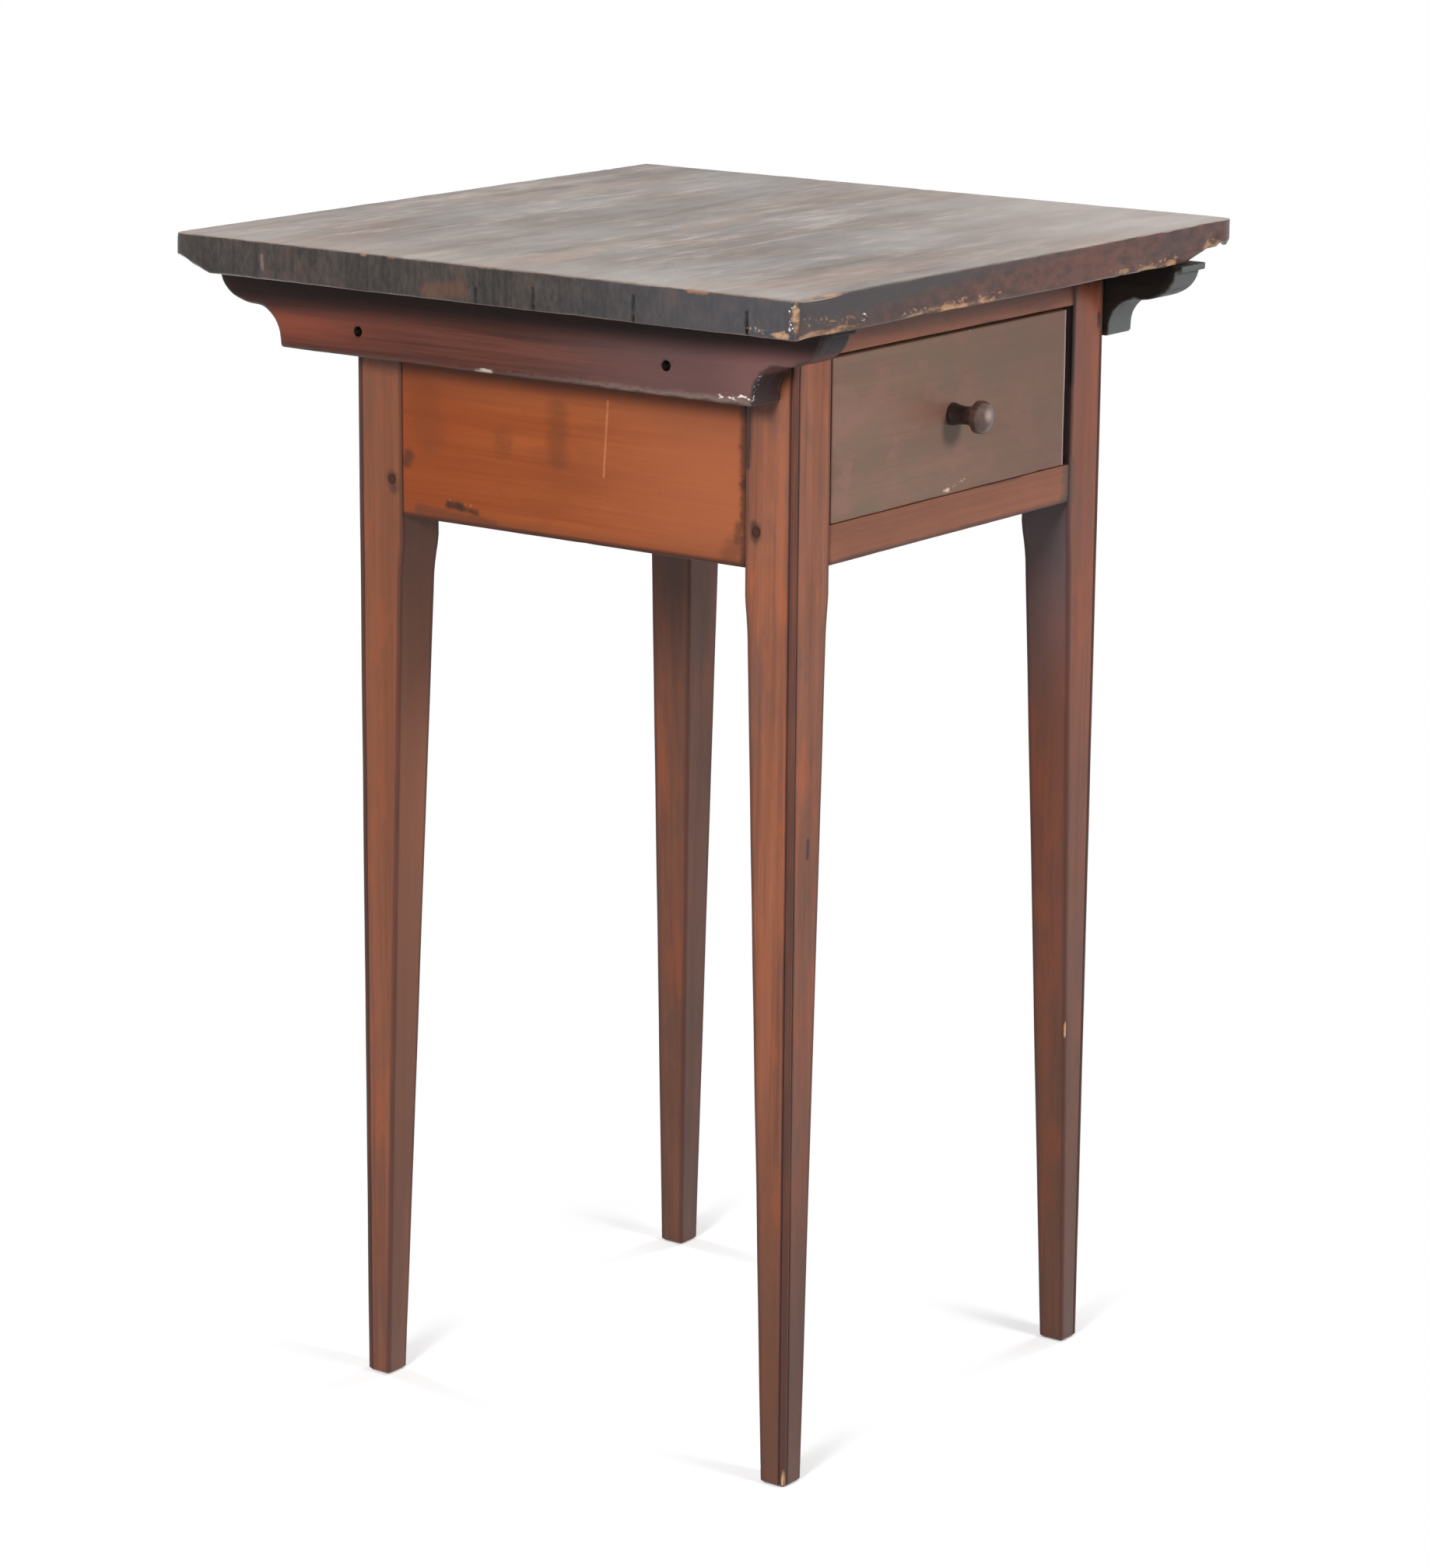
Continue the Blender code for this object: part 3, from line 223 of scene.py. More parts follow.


# Scratches, smears, stains and some painted shadows, as (start, end, half width, colour, strength)
MARKS = {
    "apron_left": [
        on_x(LEFT_FACE, -0.0079, 0.6026, -0.0079, 0.6320, 0.0150, (98, 50, 29), 0.45),
        on_x(LEFT_FACE, 0.0330, 0.6050, 0.0330, 0.6120, 0.0140, (104, 54, 30), 0.35),
        on_x(LEFT_FACE, 0.0900, 0.6080, 0.0960, 0.6400, 0.0260, (112, 54, 28), 0.45),
        on_x(LEFT_FACE, -0.0453, 0.6411, -0.0424, 0.5966, 0.0017, (202, 138, 92), 0.50),
        on_x(LEFT_FACE, 0.0745, 0.5662, 0.0650, 0.5660, 0.0052, (40, 27, 20), 0.85),
        on_x(LEFT_FACE, 0.0670, 0.5650, 0.0530, 0.5638, 0.0036, (46, 30, 22), 0.80),
        on_x(LEFT_FACE, -0.1395, 0.5790, -0.1395, 0.5700, 0.0060, (70, 42, 34), 0.60),
        on_x(LEFT_FACE, 0.0980, 0.5610, 0.0400, 0.5580, 0.0060, (80, 46, 32), 0.5),
        on_x(LEFT_FACE, -0.1436, 0.6030, -0.1443, 0.6480, 0.0075, (52, 32, 28), 0.8),
        on_x(LEFT_FACE, -0.1440, 0.5580, -0.1440, 0.6050, 0.0065, (62, 36, 29), 0.8),
        on_x(LEFT_FACE, 0.1070, 0.5890, 0.1055, 0.5930, 0.0080, (62, 36, 28), 0.7),
        on_x(LEFT_FACE, -0.1405, 0.5691, -0.1320, 0.5600, 0.0120, (84, 50, 36), 0.45),
    ],
    "leg_front_left": [
        on_x(LEFT_FACE, -0.1525, 0.5790, -0.1525, 0.5750, 0.0080, (58, 34, 28), 0.9),
        on_x(LEFT_FACE, -0.1460, 0.6150, -0.1470, 0.6480, 0.0050, (50, 31, 28), 0.9),
        on_y(FRONT_FACE, -0.1465, 0.3960, -0.1470, 0.3860, 0.0032, (62, 36, 31), 0.9),
    ],
    "leg_back_left": [
        on_x(LEFT_FACE, 0.1185, 0.5780, 0.1170, 0.5720, 0.0090, (62, 37, 30), 0.8),
        on_x(LEFT_FACE, BACK_FACE, 0.02, BACK_FACE, 0.69, 0.0060, (46, 29, 24), 0.75),
    ],
    "leg_front_right": [
        on_y(FRONT_FACE, 0.1580, 0.6670, 0.1580, 0.6620, 0.0050, (56, 34, 31), 0.9),
        on_y(FRONT_FACE, 0.1290, 0.5800, 0.1290, 0.5560, 0.0090, (84, 66, 60), 0.75),
        # Painted shadow beside the drawer's right gap, on the leg's inner front edge
        on_y(FRONT_FACE, 0.1290, 0.6900, 0.1280, 0.6300, 0.0058, (40, 29, 27), 0.9),
        on_y(FRONT_FACE, RIGHT_FACE, 0.02, RIGHT_FACE, 0.69, 0.0055, (46, 29, 25), 0.75),
    ],
    # Painted shade along the upper rail, darkest under the top's front overhang
    "rail_upper": [on_y(FRONT_FACE, -0.1285, 0.6920, 0.1285, 0.6920, 0.0260, (88, 50, 45), 0.60)],
    "rail_lower": [
        on_y(FRONT_FACE, 0.1285, 0.5800, 0.1285, 0.5550, 0.0170, (76, 62, 58), 0.85),
        on_y(FRONT_FACE, -0.1285, APRON_LOW, 0.1285, APRON_LOW, 0.0050, (56, 38, 35), 0.80),
    ],
    "top": [
        on_x(TOP_END, 0.0300, 0.7060, 0.0060, 0.7090, 0.0110, (108, 68, 46), 0.4),
        on_x(TOP_END, 0.1570, 0.7080, 0.1575, 0.7160, 0.0024, (132, 120, 112), 0.5),
        on_x(TOP_END, 0.0800, TOP_HIGH, 0.0780, TOP_HIGH, 0.0034, (166, 126, 92), 0.8),
        on_x(TOP_END, 0.0600, TOP_HIGH, 0.0560, TOP_HIGH, 0.0028, (150, 112, 84), 0.7),
        on_x(TOP_END, -0.1560, TOP_HIGH, -0.1680, TOP_HIGH, 0.0040, (156, 114, 86), 0.8),
        on_z(TOP_HIGH, -0.1900, -0.0200, -0.1400, -0.0150, 0.0200, (166, 134, 110), 0.35),
        on_z(TOP_HIGH, -0.0200, 0.0000, 0.0500, 0.0100, 0.0240, (148, 112, 88), 0.35),
        on_z(TOP_HIGH, -0.1500, 0.0500, 0.1000, 0.0800, 0.0800, (92, 78, 66), 0.45),
        on_z(TOP_HIGH, 0.0030, 0.0480, 0.1420, 0.0660, 0.0060, (58, 50, 46), 0.60),
        on_z(TOP_HIGH, -0.0660, -0.0960, 0.0400, -0.0900, 0.0260, (90, 80, 78), 0.45),
    ] + [
        on_x(TOP_END, y, 0.7030, y, 0.7225, 0.0030, (30, 26, 25), 0.7)
        for y in (-0.0110, -0.0180, -0.0270, 0.1620)
    ] + [
        on_x(TOP_END, y, TOP_LOW, y, TOP_LOW + rise, 0.0026, (16, 13, 13), 1.0)
        for y, rise in END_CHECKS
    ],
}

# Scattered flecks, as (start, end, half width, colour)
FLECKS = {
    "apron_left": [on_x(LEFT_FACE, 0.0750, 0.5690, 0.0560, 0.5672, 0.0040, (156, 118, 84))],
    "top": [
        on_x(TOP_END, -0.2250, 0.7080, -0.2260, 0.7210, 0.0080, (220, 216, 208)),
        on_x(TOP_END, -0.1960, 0.7060, -0.2200, 0.7050, 0.0090, (156, 132, 114)),
        on_y(TOP_FRONT, -0.1690, 0.7060, -0.1690, 0.7090, 0.0090, (228, 222, 214)),
        on_y(TOP_FRONT, -0.2300, 0.7120, -0.1750, 0.7080, 0.0110, (138, 104, 84)),
        on_y(TOP_FRONT, -0.1300, 0.7055, -0.0300, 0.7065, 0.0080, (170, 120, 90)),
        on_y(TOP_FRONT, 0.0900, 0.7055, 0.1700, 0.7055, 0.0090, (152, 114, 95)),
        on_x(TOP_END, 0.2000, TOP_HIGH, -0.2200, TOP_HIGH, 0.0034, (146, 122, 102)),
    ],
    "cleat_left": [
        on_x(CLEAT_FACE, -0.1480, 0.6590, -0.1780, 0.6580, 0.0100, (222, 218, 212)),
        # Painted highlights in the cove of the front scroll
        ((CLEAT_FACE + 0.001, -0.1688, 0.6590), (CLEAT_FACE + 0.003, -0.1750, 0.6725), 0.0110,
         (200, 196, 194)),
    ],
    "drawer_front": [
        on_y(DRAWER_FACE, -0.0120, 0.5812, 0.0120, 0.5852, 0.0050, (208, 192, 178)),
    ],
}


# Points

def field(points, period, seed):
    """Smooth noise between about -1 and 1 at each point, the same on every run."""
    shift = FIELD_SHIFT * seed
    return np.array([noise.noise(Vector(p) / period + shift) for p in points])


def unit(vectors):
    """Every vector at length 1."""
    return vectors / np.maximum(np.linalg.norm(vectors, axis=1, keepdims=True), TINY)


def places(low, high, step, near=NEAR_EDGE):
    """Places from low to high, close together at both ends and about one step apart between."""
    start = [low + d for d in near if d < 0.4 * (high - low)]
    end = [low + high - p for p in reversed(start)]
    count = max(1, round((end[0] - start[-1]) / step))
    between = np.linspace(start[-1], end[0], count + 1)[1:-1]
    return np.array([*start, *between, *end])


def lattice(counts):
    """Whole-number places and faces of a box with so many grid points along each axis."""
    index, keys, faces = {}, [], []

    def at(key):
        if key not in index:
            index[key] = len(keys)
            keys.append(key)
        return index[key]

    for axis in range(3):
        u, v = (axis + 1) % 3, (axis + 2) % 3
        for end in (0, counts[axis] - 1):
            for i in range(counts[u] - 1):
                for j in range(counts[v] - 1):
                    face = []
                    for di, dj in ((0, 0), (1, 0), (1, 1), (0, 1)):
                        key = [0, 0, 0]
                        key[axis], key[u], key[v] = end, i + di, j + dj
                        face.append(at(tuple(key)))
                    faces.append(face if end else face[::-1])
    return np.array(keys), faces


def block(low, high, step, extra_y=()):
    """Points and faces of a box with a grid on every side, finer towards its edges."""
    lines = [places(a, b, step) for a, b in zip(low, high)]
    lines[1] = np.sort(np.concatenate([lines[1], extra_y]))
    keys, faces = lattice([len(line) for line in lines])
    return np.stack([line[keys[:, i]] for i, line in enumerate(lines)], axis=1), faces


def edge_distance(points, low, high):
    """Distance from each point on a box to the nearest edge of that box."""
    gap = np.minimum(points - low, high - points)
    return np.maximum(np.sort(gap, axis=1)[:, 1], 0.0)


def rounded(points, low, high, radius):
    """Points of a box moved in onto round edges, whose radius may differ from point to point."""
    r = radius[:, None]
    core = np.clip(points, low + r, high - r)
    return core + unit(points - core) * r


def random_chips(points, edge, seed):
    """How chipped each point is, from 0 to 1: scattered small chips along the edges."""
    spots = field(points, 0.011, seed) * 0.75 + field(points, 0.0045, seed + 1) * 0.35
    return np.clip((spots - CHIP_RARITY) / CHIP_SOFTNESS, 0, 1) * np.clip(1 - edge / CHIP_REACH, 0, 1)


def placed_chips(points, node, spread=1.0):
    """How chipped each point is, from 0 to 1: a node's chips at known places, each with its own reach."""
    share = np.zeros(len(points))
    for place, reach in CHIPS.get(node, ()):
        away = np.linalg.norm((points - np.array(place)) / np.array(reach) / spread, axis=1)
        share = np.maximum(share, np.clip(CHIP_STEEPNESS * (1 - away), 0, 1))
    return share


# Objects

def link(name, data):
    """New object of the scene."""
    obj = bpy.data.objects.new(name, data)
    bpy.context.scene.collection.objects.link(obj)
    return obj


def tool_object(name, body):
    """Object to cut with, from a bmesh that it uses up."""
    mesh = bpy.data.meshes.new(name)
    body.to_mesh(mesh)
    body.free()
    return link(name, mesh)


def new_object(name, points, faces):
    """Mesh object from points and faces."""
    mesh = bpy.data.meshes.new(name)
    mesh.from_pydata(np.asarray(points).tolist(), [], faces)
    return link(name, mesh)


def solid_copy(node):
    """Closed copy of a CAD node, to cut with."""
    body = bmesh.new()
    body.from_mesh(NODES[node].data)
    bmesh.ops.remove_doubles(body, verts=body.verts, dist=WELD)
    return tool_object("tool_" + node, body)


def carve(obj, operation, tools):
    """Carries out one Boolean with each tool, then removes the tools."""
    for tool in tools:
        step = obj.modifiers.new(tool.name, "BOOLEAN")
        step.operation = operation
        step.solver = "EXACT"
        step.object = tool
    depsgraph = bpy.context.evaluated_depsgraph_get()
    carved = bpy.data.meshes.new_from_object(obj.evaluated_get(depsgraph))
    obj.modifiers.clear()
    obj.data = carved
    for tool in tools:
        bpy.data.objects.remove(tool)


def corners(obj):
    """Every vertex of an object as one array."""
    flat = np.zeros(len(obj.data.vertices) * 3)
    obj.data.vertices.foreach_get("co", flat)
    return flat.reshape(-1, 3)


def paint(obj, **layers):
    """Stores numbers on the vertices, for the materials to read."""
    for name, values in layers.items():
        layer = obj.data.attributes.new(name, "FLOAT", "POINT")
        layer.data.foreach_set("value", np.asarray(values, dtype=np.float32))


def stand_for(obj, node, material):
    """Gives a piece its finish and puts it in the place of a CAD node."""
    mesh = obj.data
    mesh.materials.clear()
    mesh.materials.append(material)
    mesh.polygons.foreach_set("material_index", np.zeros(len(mesh.polygons), dtype=np.int32))
    mesh.shade_smooth()
    mesh.set_sharp_from_angle(angle=SMOOTH_ANGLE)
    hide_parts(node)
    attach(obj, BODY_OF[node])


# Shaders

def linear(colour):
    """Shader colour from the 8-bit colour that a screen shows."""
    shares = [value / 255 for value in colour]
    return (*[s / 12.92 if s <= 0.04045 else ((s + 0.055) / 1.055) ** 2.4 for s in shares], 1.0)


class Shader:
    """One material's nodes, with short ways to add them."""

    def __init__(self, name):
        self.material = bpy.data.materials.new(name)
        self.material.use_nodes = True
        self.tree = self.material.node_tree
        self.surface = self.tree.nodes["Principled BSDF"]
        self.place = self.node("ShaderNodeTexCoord").outputs["Object"]

    def put(self, socket, value):
        if isinstance(value, bpy.types.NodeSocket):
            self.tree.links.new(value, socket)
        else:
            socket.default_value = value

    def node(self, kind, sockets=None, **settings):
        made = self.tree.nodes.new(kind)
        for name, value in settings.items():
            setattr(made, name, value)
        for key, value in (sockets or {}).items():
            self.put(made.inputs[key], value)
        return made

    def math(self, operation, a, b=0.0, clamp=False):
        return self.node("ShaderNodeMath", {0: a, 1: b}, operation=operation, use_clamp=clamp).outputs[0]

    def ramp(self, value, low, high):
        """0 at low and 1 at high, smooth between."""
        return self.node("ShaderNodeMapRange", {"Value": value, "From Min": low, "From Max": high},
                         interpolation_type="SMOOTHSTEP").outputs["Result"]

    def blend(self, parts):
        """Sum of (value, weight) pairs."""
        total = 0.0
        for value, weight in parts:
            step = self.node("ShaderNodeMath", {0: value, 1: weight, 2: total}, operation="MULTIPLY_ADD")
            total = step.outputs[0]
        return total

    def mix(self, factor, a, b):
        return self.node("ShaderNodeMix", {0: factor, 6: a, 7: b}, data_type="RGBA").outputs[2]

    def vector(self, operation, a, b, output=0):
        return self.node("ShaderNodeVectorMath", {0: a, 1: b}, operation=operation).outputs[output]

    def distance(self, place):
        """Distance to one place."""
        return self.vector("DISTANCE", self.place, place, "Value")

    def shown(self):
        """1 for rays that the camera sees straight, in a reflection or through something clear."""
        path = self.node("ShaderNodeLightPath").outputs
        straight_or_mirrored = self.math("MAXIMUM", path["Is Camera Ray"], path["Is Glossy Ray"])
        return self.math("MAXIMUM", straight_or_mirrored, path["Is Transmission Ray"])

    def stretched(self, axis, along, across, shift):
        """Place scaled for a pattern drawn out along one axis."""
        scale = [across] * 3
        scale["XYZ".index(axis)] = along
        sockets = {"Vector": self.place, "Location": shift, "Scale": scale}
        return self.node("ShaderNodeMapping", sockets).outputs[0]

    def noise(self, vector, scale=1.0, detail=2.0, roughness=0.5, distortion=0.0):
        return self.node("ShaderNodeTexNoise", {"Vector": vector, "Scale": scale, "Detail": detail,
                                                "Roughness": roughness, "Distortion": distortion}).outputs[0]

    def layer(self, name):
        """Numbers stored on the mesh by paint()."""
        return self.node("ShaderNodeAttribute", attribute_name=name).outputs["Fac"]

    def line_distance(self, start, end):
        """Distance to the straight line between two places."""
        run = Vector(end) - Vector(start)
        out = self.vector("SUBTRACT", self.place, start)
        dot = self.vector("DOT_PRODUCT", out, run / run.length_squared, "Value")
        share = self.math("ADD", dot, 0.0, clamp=True)
        foot = self.node("ShaderNodeVectorMath", {0: run, "Scale": share}, operation="SCALE").outputs[0]
        return self.vector("DISTANCE", out, foot, "Value")


# Looks of the woods, with colours as a screen shows them
LOOKS = {
    "leg": dict(dark=(124, 72, 50), light=(152, 93, 67), blotch=(118, 72, 54), worn=(84, 52, 42),
                bare=(214, 172, 128), grime=(68, 42, 36), wear_width=0.0034, wear=0.34, pores=0.10,
                rough=0.40, rough_vary=0.2, gloss=0.34, bump=0.22, figure=2.0, ragged=16),
    "apron": dict(dark=(136, 64, 27), light=(160, 84, 40), blotch=(128, 64, 33), worn=(76, 44, 32),
                  bare=(196, 152, 108), grime=(44, 27, 22), wear_width=0.0022, wear=0.28, pores=0.10,
                  rough=0.42, rough_vary=0.2, gloss=0.24, bump=0.22, figure=2.0, ragged=90),
    "top": dict(dark=(82, 70, 62), light=(118, 103, 93), blotch=(116, 91, 76), worn=(86, 68, 57),
                bare=(182, 142, 110), grime=(44, 37, 34), wear_width=0.0024, wear=0.40, pores=0.30,
                rough=0.38, rough_vary=0.5, gloss=0.42, bump=0.40, figure=1.4, ragged=90),
    "cleat": dict(dark=(66, 38, 32), light=(106, 62, 51), blotch=(60, 38, 36), worn=(78, 66, 62),
                  bare=(204, 193, 180), grime=(20, 14, 13), wear_width=0.0050, wear=0.46, pores=0.2,
                  rough=0.46, rough_vary=0.3, gloss=0.15, bump=0.40, figure=2.0, ragged=90),
    # The right cleat: the cleat wood in painted shade, near black, with grey worn edges
    "painted_shade_cleat": dict(dark=(28, 28, 30), light=(46, 46, 48), blotch=(38, 39, 41), worn=(88, 87, 84),
                       bare=(150, 146, 140), grime=(18, 16, 16), wear_width=0.0036, wear=0.45, pores=0.2,
                       rough=0.45, rough_vary=0.3, gloss=0.35, bump=0.40, figure=2.0, ragged=90),
    "drawer": dict(dark=(120, 90, 74), light=(134, 101, 84), blotch=(120, 95, 77), worn=(96, 74, 62),
                   bare=(222, 196, 172), grime=(40, 29, 25), wear_width=0.0016, wear=0.15, pores=0.08,
                   rough=0.42, rough_vary=0.2, gloss=0.35, bump=0.15, figure=1.6, ragged=90),
    "inside": dict(dark=(138, 102, 68), light=(182, 146, 106), blotch=(124, 94, 66), worn=(190, 158, 122),
                   bare=(202, 172, 134), grime=(72, 52, 38), wear_width=0.0016, wear=0.3, pores=0.4,
                   rough=0.68, rough_vary=0.2, gloss=0.3, bump=0.45, figure=2.0, ragged=90),
    "knob": dict(dark=(62, 44, 40), light=(104, 79, 71), blotch=(78, 58, 52), worn=(116, 94, 84),
                 bare=(150, 124, 104), grime=(30, 24, 22), wear_width=0.0010, wear=0.2, pores=0.15,
                 rough=0.28, rough_vary=0.2, gloss=0.46, bump=0.12, figure=2.0, ragged=90),
}
WOOD_RELIEF = 0.0004
TINTS = ("dark", "light", "blotch", "worn", "bare", "grime")

# Tones of each leg: over all; painted shading on the inside faces, darker on most legs and lighter on the
# back left one; painted shadow there close under the drawer, with a grey painted reflection on the front
# right leg; and darker at the foot, partly painted shade and partly dirt
LEG_TONES = {
    "leg_front_left": dict(over=(150, 92, 66), over_share=0.0, inner=(58, 40, 36), inner_painted_shading_share=0.10,
                           under=(54, 49, 50), under_painted_shadow_share=0.45, foot_shade_and_dirt_share=0.80),
    "leg_back_left": dict(over=(116, 66, 40), over_share=0.55, inner=(170, 108, 80), inner_painted_shading_share=0.50,
                          under=(46, 30, 25), under_painted_shadow_share=0.55, foot_shade_and_dirt_share=0.35),
    "leg_front_right": dict(over=(112, 62, 48), over_share=0.52, inner=(58, 40, 36), inner_painted_shading_share=0.32,
                            under=(92, 88, 94), under_painted_shadow_share=0.75, foot_shade_and_dirt_share=0.60),
    "leg_back_right": dict(over=(150, 92, 66), over_share=0.0, inner=(58, 40, 36), inner_painted_shading_share=0.42,
                           under=(54, 49, 50), under_painted_shadow_share=0.75, foot_shade_and_dirt_share=0.30),
}


class Wood(Shader):
    """Old finished wood with its grain along one axis: fibres, figure, stains and pores."""

    def __init__(self, node, look, axis, seed):
        super().__init__("wood_" + node)
        self.marks, self.flecks = MARKS.get(node, ()), FLECKS.get(node, ())
        self.look = LOOKS[look]
        self.tint = {key: linear(self.look[key]) for key in TINTS}
        self.shift = (seed * 1.37 % 9, seed * 2.11 % 9, seed * 0.73 % 9)
        self.fibre = self.grain(axis, 9, 420, detail=5, roughness=0.65)
        self.figure = self.grain(axis, self.look["figure"], 55, detail=3, roughness=0.55, distortion=0.5)
        self.stain = self.grain(axis, 7, 15, detail=5, roughness=0.62)
        self.pore = self.ramp(self.grain(axis, 70, 1100, detail=2), 0.37, 0.28)
        self.broken = self.grain(axis, self.look["ragged"], 190, detail=4, roughness=0.6)
        self.speck = self.grain(axis, 260, 520, detail=3, roughness=0.6)
        tone = self.ramp(self.blend([(self.fibre, 0.45), (self.figure, 0.55)]), 0.34, 0.66)
        self.colour = self.mix(tone, self.tint["dark"], self.tint["light"])
        self.cover(self.ramp(self.stain, 0.46, 0.68), self.tint["blotch"], 0.55)
        self.cover(self.pore, self.tint["grime"], self.look["pores"])

    def grain(self, axis, along, across, **settings):
        """Noise drawn out along an axis, at so many waves in a metre along and across it."""
        return self.noise(self.stretched(axis, along, across, self.shift), **settings)

    def cover(self, mask, colour, strength=1.0):
        """Lays a colour over what is there."""
        if strength != 1.0:
            mask = self.math("MULTIPLY", mask, strength)
        self.colour = self.mix(mask, self.colour, colour)

    def stain_with(self, mask, colour, strength=1.0):
        """Lays a colour over in a soft patch that is broken up by the grain."""
        patch = self.blend([(mask, 1.0), (self.broken, 1.0), (self.speck, 0.5), (1.0, -0.75)])
        self.wash(patch, 0.15, 1.0, colour, strength)

    def wash(self, value, low, high, colour, strength=1.0):
        """Lays a screen colour over, from none where a value is low to all where it is high."""
        self.cover(self.ramp(value, low, high), linear(colour), strength)

    def part(self, axis):
        """One coordinate of the place."""
        return self.node("ShaderNodeSeparateXYZ", {0: self.place}).outputs[axis]

    def facing(self, axis):
        """1 where the surface faces along an axis, either way."""
        normal = self.node("ShaderNodeNewGeometry").outputs["Normal"]
        share = self.math("ABSOLUTE", self.node("ShaderNodeSeparateXYZ", {0: normal}).outputs[axis])
        return self.ramp(share, 0.55, 0.85)

    def finish(self):
        """Adds marks, worn edges, dirt, chips and flecks, then the roughness and the relief."""
        look = self.look
        for start, end, width, colour, strength in self.marks:
            self.stain_with(self.ramp(self.line_distance(start, end), width, 0.0), colour, strength)
        near = self.ramp(self.layer("edge"), look["wear_width"], 0.0)
        worn = self.ramp(self.blend([(near, look["wear"]), (self.broken, 0.7)]), 0.60, 0.86)
        self.cover(worn, self.tint["worn"])
        dirt = self.ramp(self.blend([(self.layer("grime"), 0.8), (self.broken, 0.5)]), 0.40, 0.85)
        self.cover(dirt, self.tint["grime"])
        chipped = self.ramp(self.blend([(self.layer("chip"), 0.7), (self.broken, 0.5)]), 0.55, 0.85)
        pale = self.mix(self.ramp(self.broken, 0.35, 0.6), self.tint["worn"], self.tint["bare"])
        self.cover(chipped, pale)
        for start, end, width, colour in self.flecks:
            close = self.ramp(self.line_distance(start, end), width, 0.0)
            self.wash(self.blend([(close, 0.5), (self.speck, 1.0)]), 1.02, 1.12, colour)
        inputs = self.surface.inputs
        self.put(inputs["Base Color"], self.colour)
        vary = look["rough_vary"]
        rough = self.blend([(self.stain, vary), (self.fibre, 0.4 * vary), (chipped, 0.2),
                            (1.0, look["rough"] - 0.7 * vary)])
        self.put(inputs["Roughness"], rough)
        inputs["Specular IOR Level"].default_value = look["gloss"]
        height = self.blend([(self.fibre, 0.5), (self.figure, 0.3), (self.pore, -0.6), (self.broken, 0.3)])
        relief = {"Strength": look["bump"], "Distance": WOOD_RELIEF, "Height": height}
        self.put(inputs["Normal"], self.node("ShaderNodeBump", relief).outputs[0])
        return self.material


def leg_wood(node, seed):
    """Leg wood: drifting tone and streaks, darker at the foot (partly painted shade, partly dirt), painted
    shading on the inside faces and lower front faces, a painted shadow under the drawer, and darker on the
    edges.
    """
    tones = LEG_TONES[node]
    s = Wood(node, "leg", "Z", seed)
    drift = s.grain("Z", 12, 34, detail=4, roughness=0.6)
    s.wash(drift, 0.50, 0.68, (176, 92, 54), 0.7)
    s.wash(drift, 0.48, 0.32, (108, 74, 64), 0.7)
    streak = s.grain("Z", 5, 150, detail=3, roughness=0.6)
    s.wash(streak, 0.52, 0.66, (166, 96, 66), 0.32)
    s.wash(streak, 0.48, 0.34, (88, 56, 47), 0.36)
    s.wash(s.part("Z"), 0.10, 0.40, tones["over"], tones["over_share"])
    inner, under = s.layer("inner"), s.ramp(s.part("Z"), 0.40, 0.55)
    # Painted shading on the inside faces
    s.cover(inner, linear(tones["inner"]), tones["inner_painted_shading_share"])
    # Darker towards the foot: partly painted shade, partly dirt
    low = s.blend([(s.ramp(s.part("Z"), 0.40, 0.0), 0.95), (s.stain, 0.4), (1.0, -0.2)])
    s.cover(low, linear((78, 51, 38)), tones["foot_shade_and_dirt_share"])
    # Painted shade on the front faces, lower down
    front_face_painted_shade = s.math("MULTIPLY", s.facing("Y"), s.ramp(s.part("Z"), 0.54, 0.16))
    s.cover(front_face_painted_shade, linear((86, 66, 60)), 0.38)
    # Painted shadow on the inside faces close under the drawer
    s.cover(s.math("MULTIPLY", inner, under), linear(tones["under"]), tones["under_painted_shadow_share"])
    near_edge = s.ramp(s.layer("edge"), 0.0046, 0.0008)
    arris = s.blend([(near_edge, 1.0), (s.broken, 0.6), (s.stain, 0.5), (1.0, -0.5)])
    s.wash(arris, 0.25, 1.05, (76, 43, 35), 0.72)
    return s.finish()


def apron_wood(node, seed, axis):
    """Orange apron wood: paler towards the front in a painted sheen, deeper orange towards the back, with a
    painted shadow under the cleat and a dark lower edge.
    """
    s = Wood(node, "apron", axis, seed)
    # Painted sheen, paler towards the front
    s.wash(s.part("Y"), 0.02, -0.15, (166, 98, 68), 0.6)
    s.wash(s.part("Y"), -0.01, 0.09, (132, 60, 24), 0.65)
    # Painted shadow under the cleat
    s.wash(s.part("Z"), 0.620, 0.652, (88, 50, 36), 0.55)
    s.wash(s.part("Z"), APRON_LOW + 0.014, APRON_LOW, (116, 62, 38), 0.6)
    s.wash(s.part("Z"), APRON_LOW + 0.0042, APRON_LOW + 0.0012, (44, 27, 22), 0.85)
    return s.finish()


